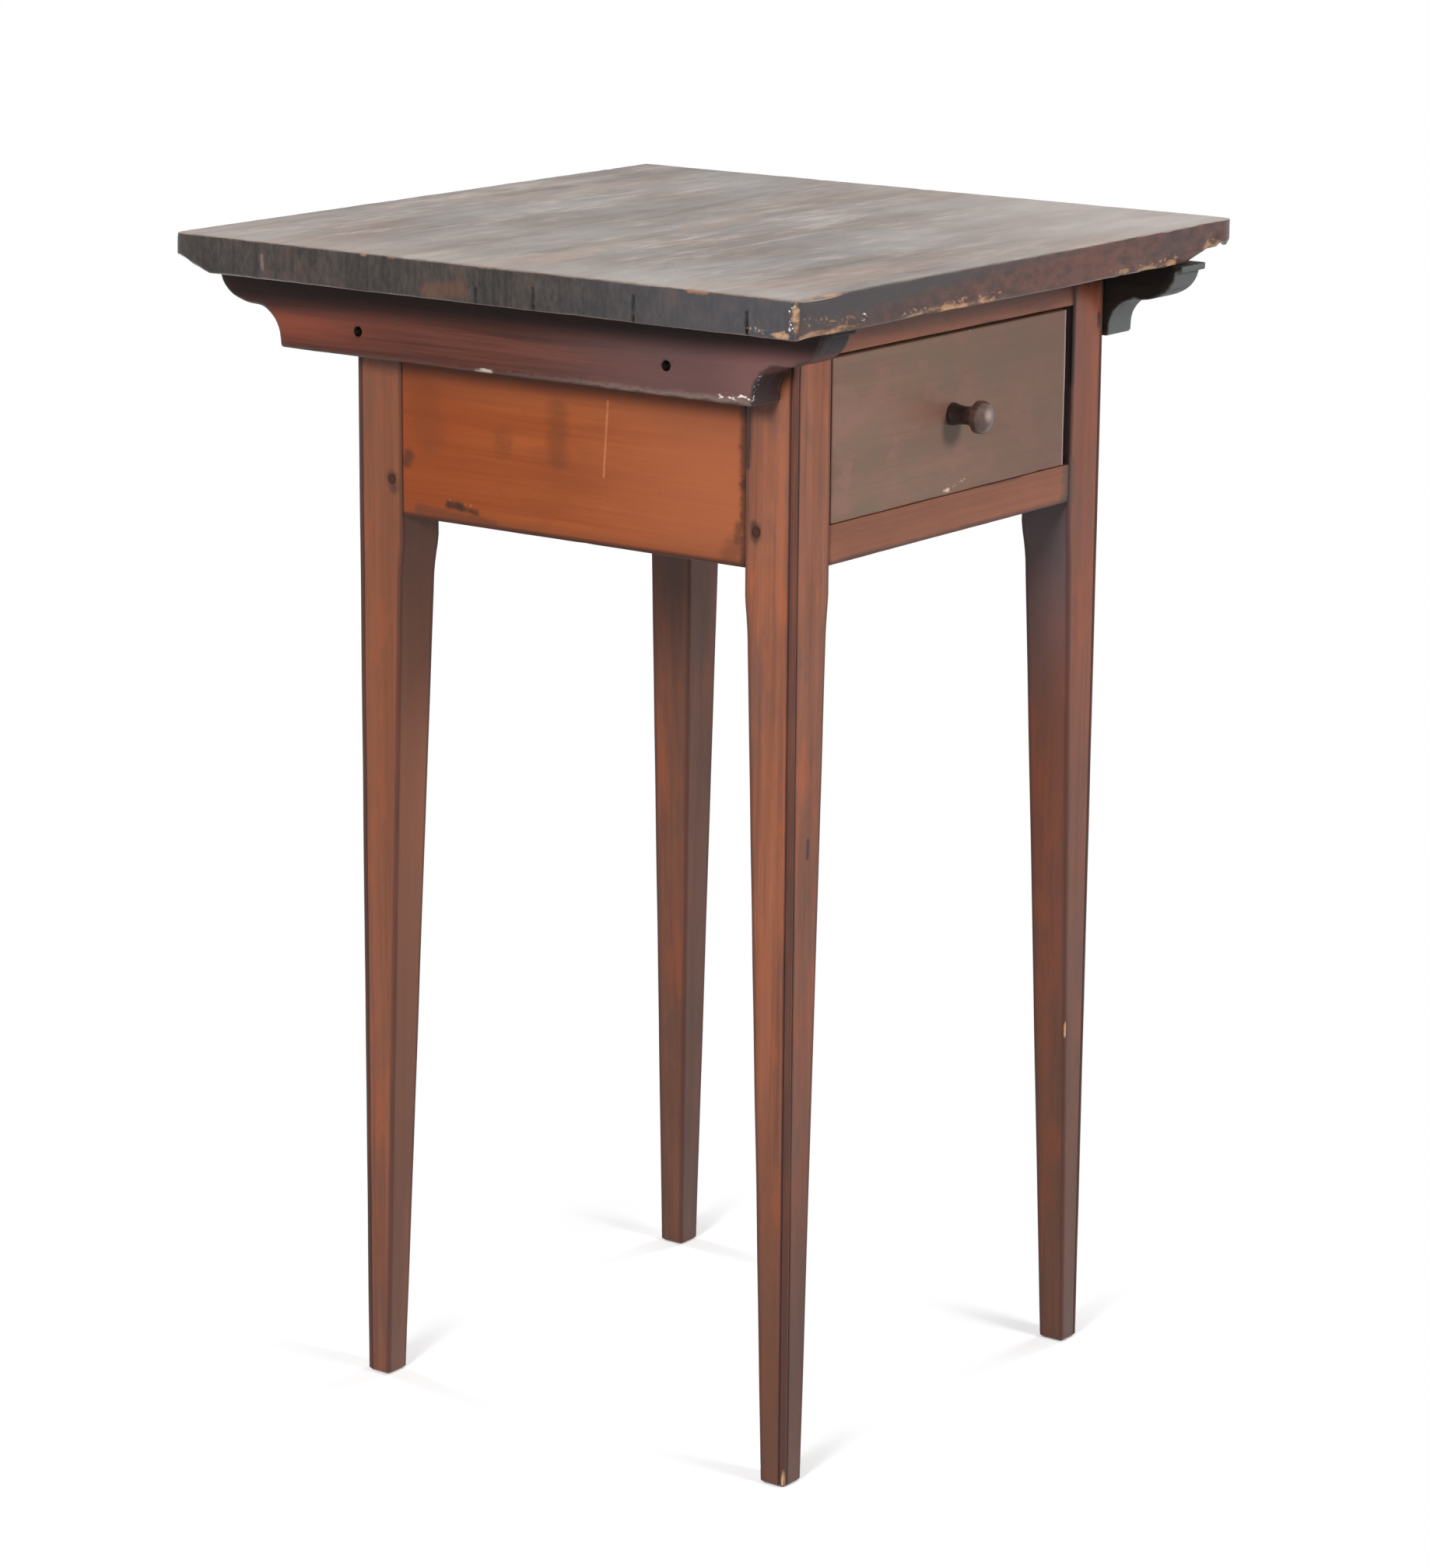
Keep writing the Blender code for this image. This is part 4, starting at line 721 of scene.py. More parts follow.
def cleat_wood(node, side, seed):
    """Cleat wood: near black under the top in a painted shadow, red below, with a worn foot that carries a
    painted highlight; the right one is the same wood in painted shade, near black, with grey painted
    highlights on its ends and lower edge.
    """
    left = side == "left"
    s = Wood(node, "cleat" if left else "painted_shade_cleat", "Y", seed)
    low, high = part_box(node)
    z = s.part("Z")
    if left:
        y = s.part("Y")
        middle = s.ramp(s.math("ABSOLUTE", s.math("SUBTRACT", z, low.z + 0.014)), 0.013, 0.002)
        s.cover(s.math("MULTIPLY", s.ramp(y, 0.08, 0.18), middle), linear((136, 70, 52)), 0.65)
        s.wash(s.stain, 0.50, 0.62, (122, 66, 52), 0.3)
        s.wash(y, 0.03, -0.13, (98, 76, 75), 0.7)
        s.wash(y, -0.13, -0.18, (128, 88, 86), 0.5)
        # Pale lower edge, stronger towards the front: partly wear and partly a painted highlight along the
        # arris
        foot = s.math("MULTIPLY", s.ramp(z, low.z + 0.008, low.z), s.ramp(y, 0.10, -0.14))
        s.stain_with(foot, (128, 108, 101), 0.85)
    else:
        # Right cleat: painted shade over the grain, and grey painted highlights along its lower edge
        s.wash(s.stain, 0.46, 0.64, (66, 60, 56), 0.6)
        s.wash(s.figure, 0.52, 0.36, (18, 17, 18), 0.6)
        s.stain_with(s.ramp(z, low.z + 0.007, low.z), (86, 82, 78), 0.6)
    # Painted shadow under the top, near black close below it
    shaded = s.blend([(z, 1.0), (s.part("Y"), 0.02)])
    s.wash(shaded, high.z - 0.027, high.z - 0.010, (22, 15, 14), 0.85)
    # Ends: near black on the left cleat; grey painted highlights on the right one
    s.stain_with(s.facing("Y"), (32, 29, 33) if left else (92, 97, 94), 0.85)
    # Painted shade inside the screw holes, and in a thin rim round them
    for end in ENDS:
        for kind in ("cleat", "top"):
            away = s.line_distance(*screw_line(f"{kind}_screw_{end}_{side}", node))
            s.cover(s.ramp(away, SCREW_HOLE_RADIUS + SCREW_HOLE_SHADE_RIM, SCREW_HOLE_RADIUS), s.tint["grime"])
    return s.finish()


def drawer_wood(node, seed):
    """Drawer front: brown with an olive drift, darker to the right, with a worn pale right edge."""
    s = Wood(node, "drawer", "X", seed)
    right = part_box(node)[1].x
    s.wash(s.stain, 0.44, 0.62, (122, 101, 80), 0.35)
    patch = s.grain("X", 34, 52, detail=4, roughness=0.6)
    s.wash(patch, 0.51, 0.64, (146, 104, 92), 0.45)
    s.wash(patch, 0.49, 0.36, (110, 96, 78), 0.45)
    s.wash(s.part("X"), -0.12, 0.14, (100, 72, 60), 0.55)
    s.wash(s.part("X"), right - 0.0026, right - 0.0008, (178, 160, 148), 0.7)
    return s.finish()


def knob_wood(node, seed):
    """Knob wood: painted shade, nearly black, in the hollow of the neck, and a pale painted highlight on its
    face.
    """
    s = Wood(node, "knob", "Y", seed)
    # Painted shade, nearly black, over the neck close to the drawer front
    s.wash(s.part("Y"), DRAWER_FACE - 0.018, DRAWER_FACE - 0.009, (44, 33, 33), 0.9)
    low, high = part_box(node)
    # Pale painted highlight on the face of the head
    knob_highlight_centre = Vector(((low.x + high.x) / 2, low.y, (low.z + high.z) / 2)) + KNOB_HIGHLIGHT_SHIFT
    s.wash(s.distance(knob_highlight_centre), KNOB_HIGHLIGHT_REACH, KNOB_HIGHLIGHT_CORE, (186, 160, 152), 0.75)
    return s.finish()


def top_wood(node, seed):
    """Top board: mottled grey face with fine fibres and a painted sheen, lighter towards the front right and
    the left end; charcoal end grain, dark red-brown long edges.
    """
    s = Wood(node, "top", "X", seed)
    x, y, z = (s.part(axis) for axis in "XYZ")
    patch = s.grain("X", 5, 11, detail=4, roughness=0.6)
    s.wash(patch, 0.52, 0.70, (148, 122, 107), 0.6)
    s.wash(patch, 0.47, 0.30, (76, 66, 60), 0.6)
    streak = s.grain("X", 6, 44, detail=4, roughness=0.6)
    mottle = s.grain("X", 28, 115, detail=4, roughness=0.65)
    worn_thin = s.blend([(streak, 0.5), (mottle, 0.5)])
    s.wash(worn_thin, 0.50, 0.66, (180, 161, 149), 0.7)
    s.wash(worn_thin, 0.50, 0.34, (38, 31, 28), 0.7)
    s.wash(s.fibre, 0.52, 0.66, (164, 146, 134), 0.35)
    s.wash(s.fibre, 0.48, 0.34, (44, 37, 33), 0.45)
    # Painted sheen, lighter towards the front right and towards the left end
    s.wash(s.math("SUBTRACT", x, y), 0.05, 0.40, (172, 156, 148), 0.6)
    s.wash(x, -0.15, -0.23, (160, 143, 133), 0.45)
    s.cover(s.facing("X"), end_colour(s, y))
    sides = s.mix(s.ramp(s.blend([(s.stain, 0.5), (s.broken, 0.5)]), 0.38, 0.62), linear((58, 36, 33)),
                  linear((100, 60, 50)))
    upper, near = s.ramp(z, 0.706, TOP_HIGH), s.ramp(x, 0.10, -0.22)
    grey = s.ramp(s.blend([(upper, 0.35), (near, 0.50), (s.stain, 0.6)]), 0.60, 0.95)
    s.cover(s.facing("Y"), s.mix(grey, sides, linear((58, 52, 53))))
    return s.finish()


def end_colour(s, y):
    """Charcoal of the top's end grain: soft clouds, specks and a few lines, cooler towards the front."""
    cloud = s.grain("Z", 26, 34, detail=4, roughness=0.6)
    mottle = s.grain("Z", 150, 330, detail=5, roughness=0.7)
    lines = s.grain("Z", 14, 300, detail=3)
    tone = s.ramp(s.blend([(cloud, 0.45), (mottle, 0.40), (lines, 0.15)]), 0.38, 0.63)
    colour = s.mix(tone, linear((27, 22, 20)), linear((68, 59, 54)))
    colour = s.mix(s.math("MULTIPLY", s.ramp(cloud, 0.54, 0.66), 0.25), colour, linear((96, 62, 48)))
    return s.mix(s.math("MULTIPLY", s.ramp(y, -0.02, -0.20), 0.50), colour, linear((76, 75, 82)))


def plain_wood(node, look, axis, seed):
    """Wood with no drift of its own."""
    return Wood(node, look, axis, seed).finish()


def iron():
    """Dark screw and nail iron with rust."""
    s = Shader("iron")
    rust = s.noise(s.place, scale=900, detail=4)
    colour = s.mix(s.ramp(rust, 0.4, 0.65), linear((26, 23, 22)), linear((58, 38, 29)))
    s.put(s.surface.inputs["Base Color"], colour)
    s.put(s.surface.inputs["Roughness"], s.blend([(rust, 0.5), (1.0, 0.25)]))
    s.surface.inputs["Metallic"].default_value = 0.6
    bump = s.node("ShaderNodeBump", {"Strength": 0.3, "Distance": 0.0002, "Height": rust})
    s.put(s.surface.inputs["Normal"], bump.outputs[0])
    return s.material


def end_grain(name, dark, light):
    """Sawn-off peg ends: dark specks in red-brown wood."""
    s = Shader(name)
    speck = s.noise(s.place, scale=1300, detail=4, roughness=0.7)
    cloud = s.noise(s.place, scale=120, detail=2)
    tone = s.ramp(s.blend([(speck, 0.6), (cloud, 0.4)]), 0.35, 0.65)
    s.put(s.surface.inputs["Base Color"], s.mix(tone, linear(dark), linear(light)))
    s.put(s.surface.inputs["Roughness"], s.blend([(speck, 0.3), (1.0, 0.5)]))
    s.surface.inputs["Specular IOR Level"].default_value = 0.15
    bump = s.node("ShaderNodeBump", {"Strength": 0.4, "Distance": 0.0003, "Height": speck})
    s.put(s.surface.inputs["Normal"], bump.outputs[0])
    return s.material


# Boards

def worn_block(node, step, radius, vary, seed, chip_depth, extra_y=()):
    """Gridded box of a node's size with unevenly rounded, chipped edges."""
    low, high = (np.array(corner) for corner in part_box(node))
    low, high = low + SKIN, high - SKIN
    points, faces = block(low, high, step, extra_y)
    uneven = np.clip(0.5 + 0.7 * field(points, 0.030, seed) + 0.4 * field(points, 0.008, seed + 1), 0, 1)
    moved = rounded(points, low, high, radius + vary * uneven)
    edge = edge_distance(points, low, high)
    inward = unit(np.clip(points, low + CHIP_CORE, high - CHIP_CORE) - points)
    depth = chip_depth * random_chips(points, edge, seed + 2)
    depth += PLACED_CHIP_DEPTH * chip_depth * placed_chips(points, node)
    return new_object("worn_" + node, moved + inward * depth[:, None], faces), low, high


def paint_board(obj, node, low, high, seed):
    """Stores edge distance and chips on a board's final points."""
    points = corners(obj)
    edge = edge_distance(points, low, high)
    chip = np.maximum(random_chips(points, edge, seed + 2), placed_chips(points, node, CHIP_COLOUR_SPREAD))
    paint(obj, edge=edge, chip=chip, grime=np.zeros(len(points)))


# Boards in groups, as (nodes, look, slot, axis of the grain, grid step)
BOARDS = [
    (["apron_left", "apron_right"], "apron", "frame_wood", "Y", 0.006),
    (["apron_back"], "apron", "frame_wood", "X", 0.006),
    (["rail_upper", "rail_lower"], "leg", "frame_wood", "X", 0.006),
    (["drawer_front"], "drawer", "drawer_wood", "X", 0.005),
    (["drawer_side_left", "drawer_side_right"], "inside", "inside_wood", "Y", 0.008),
    (["drawer_back", "drawer_bottom"], "inside", "inside_wood", "X", 0.008),
    (["runner_left", "runner_right", "guide_left", "guide_right", "kicker_left", "kicker_right"],
     "inside", "inside_wood", "Y", 0.010),
    (["stop_left", "stop_right"], "inside", "inside_wood", "X", 0.006),
]


def board_material(node, look, axis, seed):
    """Material of one board."""
    if look == "apron":
        return apron_wood(node, seed, axis)
    if look == "drawer":
        return drawer_wood(node, seed)
    return plain_wood(node, look, axis, seed)


def make_boards():
    """Every board that keeps its tenons, tails, grooves and bores from its CAD node."""
    boards = [(node, *rest) for nodes, *rest in BOARDS for node in nodes]
    for seed, (node, look, slot, axis, step) in enumerate(boards, start=FIRST_BOARD_SEED):
        obj, low, high = worn_block(node, step, radius=0.0004, vary=0.0006, seed=seed, chip_depth=0.0005)
        carve(obj, "INTERSECT", [solid_copy(node)])
        paint_board(obj, node, low, high, seed)
        stand_for(obj, node, board_material(node, look, axis, seed))


def make_top():
    """The wide top board: worn edges, broken corners, checks in the end grain."""
    seed = TOP_SEED
    check_lines = [y + d * CHECK_HALF_WIDTH for y, _ in END_CHECKS for d in (-1.0, -0.4, 0.4, 1.0)]
    obj, low, high = worn_block("top", step=0.0045, radius=0.0012, vary=0.0020, seed=seed,
                                chip_depth=0.0010, extra_y=check_lines)
    points = corners(obj)
    for y, rise in END_CHECKS:
        across = np.clip(1 - np.abs(points[:, 1] - y) / CHECK_HALF_WIDTH, 0, 1)
        height = np.clip(1 - (points[:, 2] - low[2]) / rise, 0, 1)
        end = np.clip(1 - (points[:, 0] - low[0]) / CHECK_DEPTH, 0, 1)
        points[:, 0] += CHECK_DEPTH * across * np.sqrt(height) * end
    ragged = 1 + 0.45 * field(points, 0.012, seed + 4) + 0.30 * field(points, 0.006, seed + 5)
    for corner, reach, share in BROKEN_CORNERS:
        away = np.abs(points[:, :2] - np.array(corner)).sum(axis=1)
        lost = np.clip(share * np.clip(1 - away / reach, 0, 1) * ragged, 0, 0.7)
        points[:, 2] = high[2] - (high[2] - points[:, 2]) * (1 - lost)
        round_off = CORNER_ROUND * np.clip(1 - away / CORNER_ROUND_REACH, 0, 1) ** 2
        points[:, :2] -= np.sign(corner) * round_off[:, None]
    obj.data.vertices.foreach_set("co", points.ravel())
    carve(obj, "DIFFERENCE", [solid_copy(f"top_screw_{end}_{side}") for end in ENDS for side in SIDES])
    paint_board(obj, "top", low, high, seed)
    stand_for(obj, "top", top_wood("top", seed))


# Legs

def leg_width(z):
    """Width of a leg at a height: square block, hollow shoulder, straight taper."""
    shoulder_low = TAPER_TOP - SHOULDER_HEIGHT
    if z >= TAPER_TOP:
        return LEG_SIZE
    if z >= shoulder_low:
        return LEG_SIZE - SHOULDER_CUT * math.sin((TAPER_TOP - z) / SHOULDER_HEIGHT * math.pi / 2)
    return FOOT_SIZE + (LEG_SIZE - SHOULDER_CUT - FOOT_SIZE) * z / shoulder_low


def arc(centre, radius, first, last, steps):
    """Points of an arc."""
    angles = [first + (last - first) * i / steps for i in range(steps + 1)]
    return [(centre[0] + radius * math.cos(a), centre[1] + radius * math.sin(a)) for a in angles]


def leg_outline(size, radius):
    """Section of a leg, inward from its beaded outer corner, and how deep in a quirk each point lies."""
    r = BEAD_RADIUS
    bead = arc((r, r), r, math.pi / 2 + BEAD_END_ANGLE, 2 * math.pi - BEAD_END_ANGLE, BEAD_STEPS)
    quirk = bead[0][1] + QUIRK_WIDTH
    outline = [(0.0, quirk)] + bead + [(quirk, 0.0)]
    grime = [0.3, 0.75, 0.55] + [0.38] * (BEAD_STEPS - 3) + [0.55, 0.75, 0.3]
    far = size - radius
    for centre, first in (((far, radius), -0.5), ((far, far), 0.0), ((radius, far), 0.5)):
        bend = arc(centre, radius, first * math.pi, (first + 0.5) * math.pi, LEG_ARC_STEPS)
        outline += between(outline[-1], bend[0]) + bend
    outline += between(outline[-1], outline[0])
    return outline, grime + [0.0] * (len(outline) - len(grime))


def leg_inner(around):
    """1 on the section's points that lie on the two inside faces."""
    first = BEAD_STEPS + 3 + len(LEG_FACE_SHARES) + LEG_ARC_STEPS // 2
    count = 2 * len(LEG_FACE_SHARES) + 2 * (LEG_ARC_STEPS + 1) + 1
    return [1.0 if first <= i < first + count else 0.0 for i in range(around)]


def between(start, end):
    """Points along one flat of a leg's section."""
    return [tuple(a + (b - a) * share for a, b in zip(start, end)) for share in LEG_FACE_SHARES]


def loft_faces(rings, around):
    """Faces of a closed body lofted through equal rings."""
    faces = []
    for ring in range(rings - 1):
        for i in range(around):
            a, b = ring * around + i, ring * around + (i + 1) % around
            faces.append((a, b, b + around, a + around))
    faces.append(tuple(reversed(range(around))))
    faces.append(tuple(range((rings - 1) * around, rings * around)))
    return faces


def make_leg(side, end, seed):
    """One leg: bead along the outer corner, taper on the two inside faces, edges worn unevenly."""
    node = f"leg_{end}_{side}"
    low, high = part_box(node)
    levels = [0.0, FOOT_CHAMFER, 2 * FOOT_CHAMFER, *places(0.005, high.z, LEG_STEP, near=(0.0,))]
    points, grime, edge = [], [], []
    for z in levels:
        size = leg_width(z)
        worn = noise.noise(Vector((seed * 5.1, 0, z / 0.12)))
        outline, dirty = leg_outline(size, 0.0010 + 0.0004 * worn)
        shrink = 1 - 2 * FOOT_CHAMFER / size if z == 0 else 1.0
        flats = [(size, 0), (size, size), (0, size), (0, BEAD_RADIUS), (BEAD_RADIUS, 0)]
        for u, v in outline:
            edge.append(min(math.dist((u, v), corner) for corner in flats))
            u, v = (size / 2 + (value - size / 2) * shrink for value in (u, v))
            points.append((low.x + u if side == "left" else high.x - u,
                           low.y + v if end == "front" else high.y - v, z))
        grime += dirty
    points, edge = np.array(points), np.array(edge)
    around = len(points) // len(levels)
    middle = points.reshape(len(levels), around, 3).mean(axis=1).repeat(around, axis=0)
    inward = unit(middle - points)
    chip = placed_chips(points, node)
    sunk = 0.00012 * (1 + field(points, 0.05, seed)) + 0.0007 * chip
    faces = loft_faces(len(levels), around)
    if (side == "left") != (end == "front"):
        faces = [tuple(reversed(face)) for face in faces]
    obj = new_object("worn_" + node, points + inward * sunk[:, None], faces)
    paint(obj, edge=edge, chip=chip, grime=grime, inner=np.tile(leg_inner(around), len(levels)))
    stand_for(obj, node, leg_wood(node, seed))


# Cleats

def scroll(tip, low, top):
    """Lower outline of a cleat's front end: lip, round, cove and foot."""
    lip = top - SCROLL_LIP_HEIGHT
    cove = tip + SCROLL_LIP_STEP + SCROLL_ROUND_RUN
    round_low = lip - SCROLL_ROUND_RISE
    foot, foot_top = cove + SCROLL_COVE_RUN, low + SCROLL_FOOT_HEIGHT
    outline = arc((tip + LIP_ROUND, lip + LIP_ROUND), LIP_ROUND, math.pi, 1.5 * math.pi, 3)
    for i in range(SCROLL_STEPS + 1):
        angle = math.pi * (1 + 0.5 * i / SCROLL_STEPS)
        outline.append((cove + SCROLL_ROUND_RUN * math.cos(angle),
                        lip + SCROLL_ROUND_RISE * math.sin(angle)))
    for i in range(1, SCROLL_STEPS):
        angle = math.pi / 2 * (1 - i / SCROLL_STEPS)
        outline.append((cove + SCROLL_COVE_RUN * math.cos(angle),
                        foot_top + (round_low - foot_top) * math.sin(angle)))
    outline += arc((foot + FOOT_ROUND, low + FOOT_ROUND), FOOT_ROUND, math.pi, 1.5 * math.pi, 4)
    return outline


def cleat_outline(front, back, low, top):
    """Lower outline of a cleat from its front tip to its back tip."""
    start = scroll(front, low, top)
    end = [(front + back - y, z) for y, z in reversed(start)]
    straight = places(start[-1][0], end[0][0], CLEAT_STEP, near=(0.0,))[1:-1]
    return np.array(start + [(y, low) for y in straight] + end)


def outline_distance(points, outline):
    """Distance in Y and Z from each point to an outline, and the inward direction there."""
    a, run = outline[:-1], np.diff(outline, axis=0)
    out = points[:, None, 1:] - a[None]
    share = np.clip((out * run).sum(2) / (run * run).sum(1), 0, 1)
    away = np.linalg.norm(out - share[..., None] * run, axis=2)
    nearest = away.argmin(axis=1)
    normal = np.stack([-run[:, 1], run[:, 0]], axis=1)
    normal /= np.linalg.norm(normal, axis=1, keepdims=True)
    return away.min(axis=1), normal[nearest]


def make_cleat(side, seed):
    """A cleat with a scroll on each end, its lower outer edge worn round."""
    node = f"cleat_{side}"
    low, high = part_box(node)
    outline = cleat_outline(low.y, high.y, low.z, high.z)
    across = places(low.x, high.x, 0.004)
    keys, faces = lattice((len(across), len(outline), len(CLEAT_LEVELS)))
    y, z = outline[keys[:, 1]].T
    z = z + np.array(CLEAT_LEVELS)[keys[:, 2]] * (high.z - z)
    points = np.stack([across[keys[:, 0]], y, z], axis=1)
    border = np.array([(low.y, high.z), *outline, (high.y, high.z)])
    below, up = outline_distance(points, border)
    left_gap, right_gap = points[:, 0] - low.x, high.x - points[:, 0]
    beside = np.minimum(left_gap, right_gap)
    outer = (left_gap < right_gap) == (side == "left")
    uneven = np.clip(0.5 + 0.7 * field(points, 0.025, seed) + 0.5 * field(points, 0.008, seed + 1), 0, 1)
    radius = np.where(outer, 0.0018 + 0.0016 * uneven, 0.0008)
    chip = np.maximum(random_chips(points, np.maximum(below, beside), seed + 2), placed_chips(points, node))
    radius = radius + 0.0012 * chip
    turn = np.stack([beside, below], axis=1) - radius[:, None]
    length = np.linalg.norm(turn, axis=1)
    inside = (beside < radius) & (below < radius)
    factor = np.where(inside, radius / np.maximum(length, TINY), 1.0)
    moved_beside = radius + turn[:, 0] * factor
    moved_below = radius + turn[:, 1] * factor
    points[:, 0] += np.where(left_gap < right_gap, 1, -1) * (moved_beside - beside)
    points[:, 1:] += up * (moved_below - below)[:, None]
    obj = new_object("worn_" + node, points, faces)
    tools = []
    for end in ENDS:
        for kind, axis in (("cleat", "X"), ("top", "Z")):
            screw = f"{kind}_screw_{end}_{side}"
            tools += [screw_hole(screw, axis, node), solid_copy(screw)]
    carve(obj, "DIFFERENCE", tools)
    final = corners(obj)
    below, _ = outline_distance(final, border)
    beside = np.minimum(final[:, 0] - low.x, high.x - final[:, 0])
    edge = np.maximum(below, beside)
    chip = np.maximum(random_chips(final, edge, seed + 2), placed_chips(final, node, CHIP_COLOUR_SPREAD))
    paint(obj, edge=edge, chip=chip, grime=np.zeros(len(final)))
    stand_for(obj, node, cleat_wood(node, side, seed))


def screw_line(screw, node):
    """Middle line of a screw, as far as the faces of the cleat around it."""
    low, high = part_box(screw)
    face_low, face_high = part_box(node)
    start, end = (low + high) / 2, (low + high) / 2
    axis = 0 if screw.startswith("cleat") else 2
    start[axis], end[axis] = face_low[axis], face_high[axis]
    return start, end


def screw_hole(screw, axis, node):
    """Cutting cylinder from a cleat's face in to a screw's head."""
    low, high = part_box(screw)
    face_low, face_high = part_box(node)
    middle = (low + high) / 2
    across = "XYZ".index(axis)
    outward = -1 if axis == "Z" or middle.x < 0 else 1
    start = low[across] if outward < 0 else high[across]
    face = (face_low if outward < 0 else face_high)[across] + outward * SCREW_HOLE_CLEAR
    body = bmesh.new()
    bmesh.ops.create_cone(body, cap_ends=True, segments=SCREW_HOLE_SIDES, radius1=SCREW_HOLE_RADIUS,
                          radius2=SCREW_HOLE_RADIUS, depth=abs(face - start) + SCREW_HOLE_PAST)
    direction = Vector([outward if i == across else 0 for i in range(3)])
    centre = middle.copy()
    centre[across] = (face + start - outward * SCREW_HOLE_PAST) / 2
    body.transform(Matrix.Translation(centre) @ direction.to_track_quat("Z", "Y").to_matrix().to_4x4())
    return tool_object("hole_" + screw, body)


# Knob

def make_knob():
    """Turned knob: thin base, hollow neck, low-domed head, and its tenon through the drawer front."""
    low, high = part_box("knob")
    head = KNOB_WORN_SHARE * (high.x - low.x) / 2
    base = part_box("drawer_front")[0].y
    profile = [(high.y, KNOB_TENON_RADIUS), (base, KNOB_TENON_RADIUS),
               (base, KNOB_BASE_RADIUS - KNOB_BASE_ROUND), (base - KNOB_BASE_ROUND_RUN, KNOB_BASE_RADIUS)]
    neck = base - KNOB_BASE_HEIGHT
    for i in range(KNOB_STEPS + 1):
        share = i / KNOB_STEPS
        spread = KNOB_BASE_RADIUS + (head - KNOB_BASE_RADIUS) * share ** KNOB_FLARE_POWER
        pinch = (spread - KNOB_NECK_RADIUS) * math.sin(math.pi * share) ** KNOB_WAIST_POWER
        profile.append((neck - KNOB_NECK_HEIGHT * share, spread - pinch))
    rim = neck - KNOB_NECK_HEIGHT - KNOB_RIM
    for i in range(KNOB_STEPS):
        angle = math.pi / 2 * i / KNOB_STEPS
        profile.append((rim - KNOB_DOME * math.sin(angle), head * math.cos(angle)))
    axis_x, axis_z = (low.x + high.x) / 2, (low.z + high.z) / 2
    points = []
    for y, radius in profile:
        for i in range(KNOB_SIDES):
            angle = 2 * math.pi * i / KNOB_SIDES
            points.append((axis_x + radius * math.cos(angle), y, axis_z + radius * math.sin(angle)))
    faces = loft_faces(len(profile), KNOB_SIDES)
    obj = new_object("worn_knob", points, faces)
    count = len(points)
    paint(obj, edge=np.full(count, 0.01), chip=np.zeros(count), grime=np.zeros(count))
    stand_for(obj, "knob", knob_wood("knob", KNOB_SEED))


def dress_small_parts():
    """Materials of the pegs, screws and nails, which keep their CAD shape."""
    metal = iron()
    peg = end_grain("peg_wood", (46, 28, 22), (80, 49, 37))
    for node, obj in NODES.items():
        if node.startswith("peg_"):
            obj.data.materials.clear()
            obj.data.materials.append(peg)
        elif "screw" in node or "nail" in node:
            obj.data.materials.clear()
            obj.data.materials.append(metal)


# Stage

def foot_distance(s):
    """Distance on the floor to the nearest foot."""
    nearest = 1.0
    for side in SIDES:
        for end in ENDS:
            low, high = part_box(f"leg_{end}_{side}")
            foot = (low.x + FOOT_SIZE / 2 if side == "left" else high.x - FOOT_SIZE / 2,
                    low.y + FOOT_SIZE / 2 if end == "front" else high.y - FOOT_SIZE / 2, 0)
            nearest = s.math("MINIMUM", s.distance(foot), nearest)
    return nearest


def make_floor():
    """Pale floor that reads white to the camera, keeps the object's shadow and is clear from below."""
    z = -FLOOR_DROP
    h = FLOOR_HALF
    floor = new_object("floor", [(-h, -h, z), (h, -h, z), (h, h, z), (-h, h, z)], [(0, 1, 2, 3)])
    s = Shader("floor")
    s.tree.nodes.remove(s.surface)
    seen = s.node("ShaderNodeBsdfDiffuse", {"Color": (FLOOR_SEEN, FLOOR_SEEN, FLOOR_SEEN, 1)})
    bounce = s.node("ShaderNodeBsdfDiffuse", {"Color": (FLOOR_BOUNCE, FLOOR_BOUNCE, FLOOR_BOUNCE, 1)})
    glow = s.node("ShaderNodeEmission", {"Strength": FLOOR_GLOW})
    lit = s.node("ShaderNodeAddShader", {0: seen.outputs[0], 1: glow.outputs[0]})
    white = s.node("ShaderNodeEmission", {"Strength": 1.0})
    far = s.ramp(foot_distance(s), FLOOR_FADE_FROM, FLOOR_FADE_TO)
    pale = s.node("ShaderNodeMixShader", {0: far, 1: lit.outputs[0], 2: white.outputs[0]})
    above = s.node("ShaderNodeMixShader", {0: s.shown(), 1: bounce.outputs[0], 2: pale.outputs[0]})
    clear = s.node("ShaderNodeBsdfTransparent")
    under = s.node("ShaderNodeNewGeometry").outputs["Backfacing"]
    both = s.node("ShaderNodeMixShader", {0: under, 1: above.outputs[0], 2: clear.outputs[0]})
    s.tree.links.new(both.outputs[0], s.tree.nodes["Material Output"].inputs["Surface"])
    floor.data.materials.append(s.material)


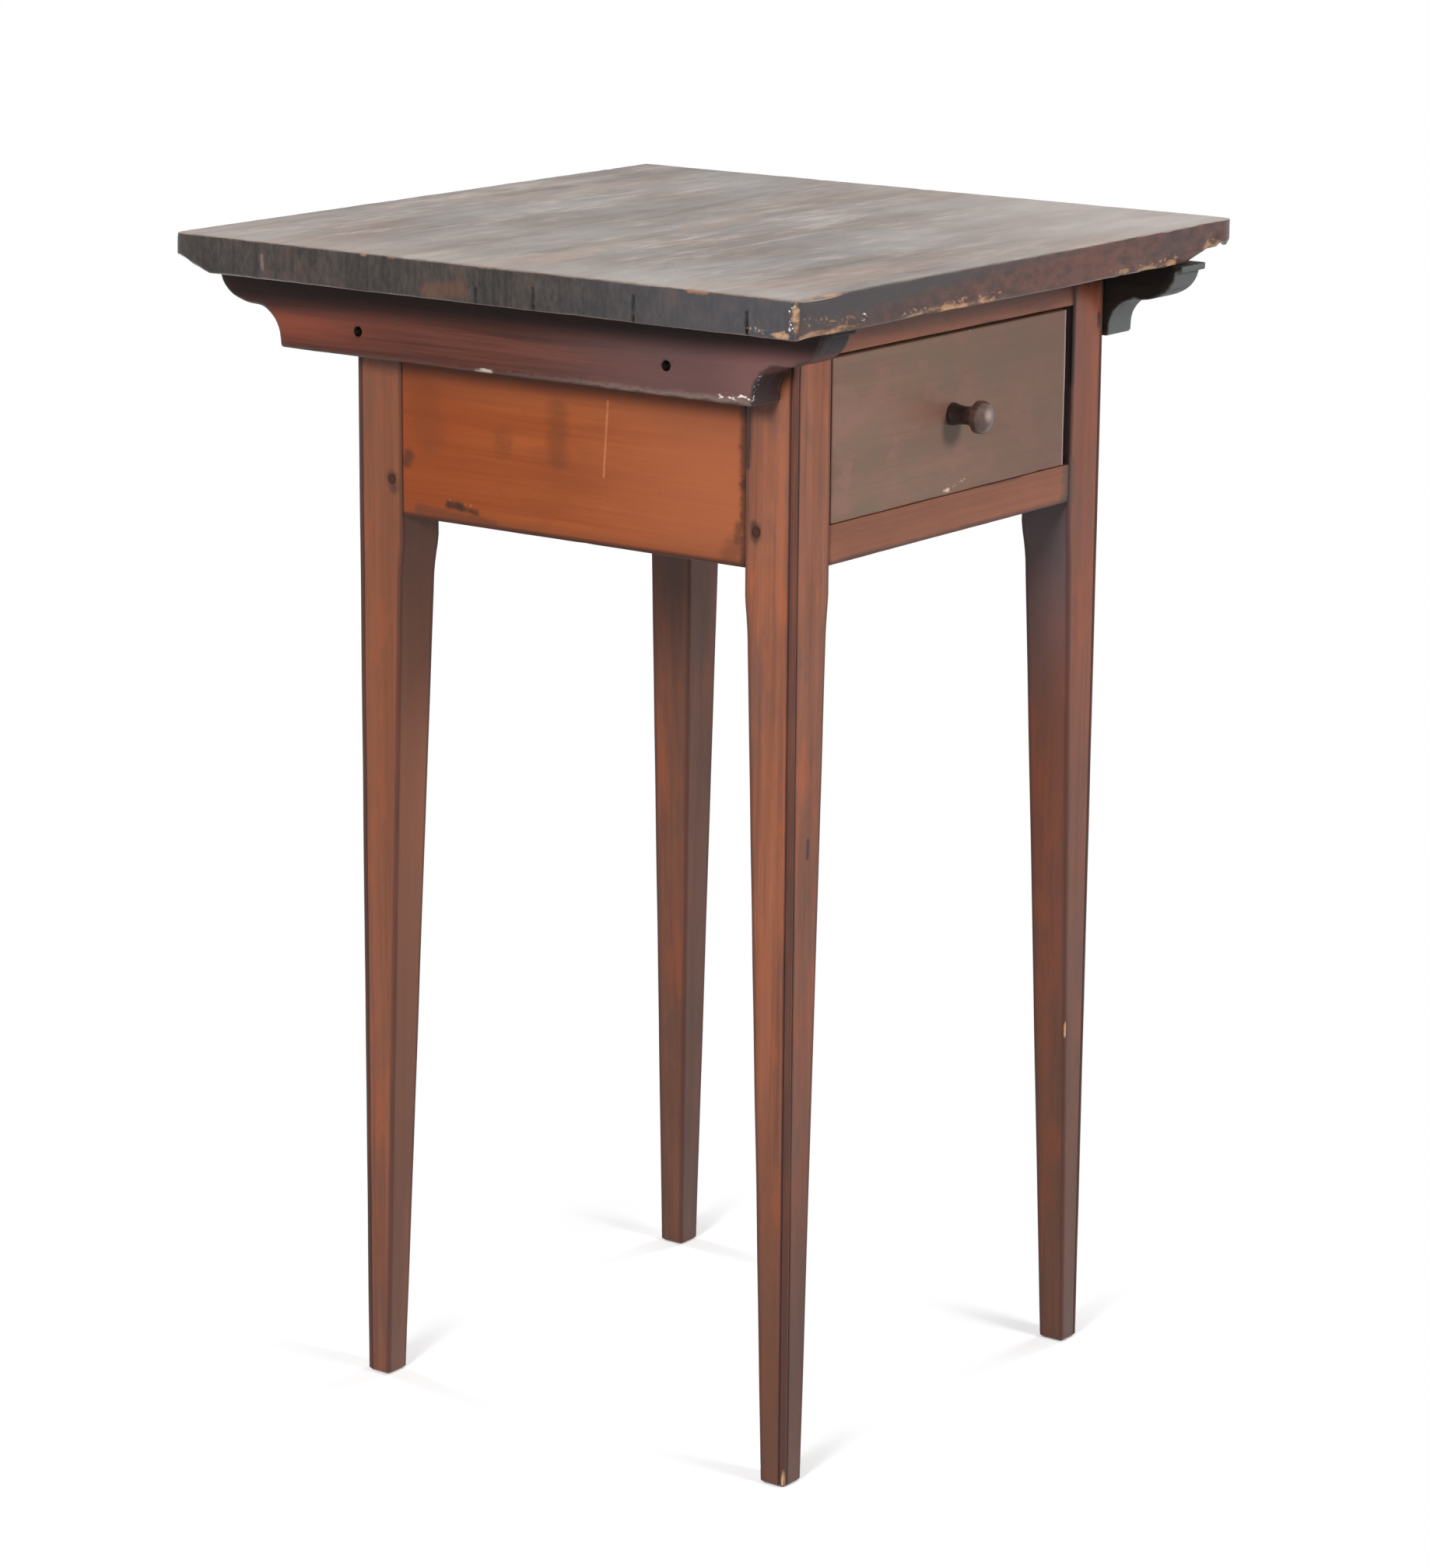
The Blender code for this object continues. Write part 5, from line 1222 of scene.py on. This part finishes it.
def make_world():
    """White surroundings to the camera and in reflections, plain light otherwise."""
    world = bpy.data.worlds.new("studio")
    bpy.context.scene.world = world
    world.use_nodes = True
    tree = world.node_tree
    tree.nodes.clear()
    path = tree.nodes.new("ShaderNodeLightPath")
    plain, white = tree.nodes.new("ShaderNodeBackground"), tree.nodes.new("ShaderNodeBackground")
    plain.inputs["Color"].default_value = white.inputs["Color"].default_value = (1, 1, 1, 1)
    plain.inputs["Strength"].default_value = WORLD_STRENGTH
    white.inputs["Strength"].default_value = 1.0
    either = path.outputs["Is Camera Ray"]
    for ray in ("Is Glossy Ray", "Is Transmission Ray"):
        larger = tree.nodes.new("ShaderNodeMath")
        larger.operation = "MAXIMUM"
        tree.links.new(either, larger.inputs[0])
        tree.links.new(path.outputs[ray], larger.inputs[1])
        either = larger.outputs[0]
    mix, out = tree.nodes.new("ShaderNodeMixShader"), tree.nodes.new("ShaderNodeOutputWorld")
    tree.links.new(either, mix.inputs[0])
    tree.links.new(plain.outputs[0], mix.inputs[1])
    tree.links.new(white.outputs[0], mix.inputs[2])
    tree.links.new(mix.outputs[0], out.inputs["Surface"])


def make_lamp(name, place, power):
    """Large soft lamp that faces the stand and doesn't mirror in it."""
    lamp = bpy.data.lights.new(name, "AREA")
    lamp.shape = "DISK"
    lamp.size = LAMP_SIZE
    lamp.energy = power
    obj = link(name, lamp)
    obj.visible_glossy = False
    obj.location = place
    obj.rotation_euler = (LAMP_AIM - place).to_track_quat("-Z", "Y").to_euler()


def make_camera():
    """Camera at the photograph's place and angle."""
    level = math.cos(CAMERA_ELEVATION)
    back = Vector((math.sin(CAMERA_AZIMUTH) * level, -math.cos(CAMERA_AZIMUTH) * level,
                   math.sin(CAMERA_ELEVATION)))
    right = Vector((0, 0, 1)).cross(back).normalized()
    up = back.cross(right)
    turned_right = math.cos(CAMERA_ROLL) * right + math.sin(CAMERA_ROLL) * up
    turned_up = back.cross(turned_right)
    data = bpy.data.cameras.new("camera")
    data.sensor_width = SENSOR_MM
    data.lens = SENSOR_MM * FOCAL_PX / IMAGE_HEIGHT_PX
    camera = link("camera", data)
    place = CAMERA_AIM + back * CAMERA_DISTANCE
    turn = Matrix((turned_right, turned_up, back)).transposed()
    camera.matrix_world = Matrix.Translation(place) @ turn.to_4x4()
    bpy.context.scene.camera = camera


make_top()
for number, (side, end) in enumerate([(side, end) for side in SIDES for end in ENDS]):
    make_leg(side, end, seed=FIRST_LEG_SEED + number)
for number, side in enumerate(SIDES):
    make_cleat(side, seed=FIRST_CLEAT_SEED + CLEAT_SEED_STEP * number)
make_boards()
make_knob()
dress_small_parts()
make_floor()
make_world()
for name, (place, power) in LAMPS.items():
    make_lamp(name, place, power)
make_camera()
bpy.context.scene.view_settings.view_transform = "Standard"
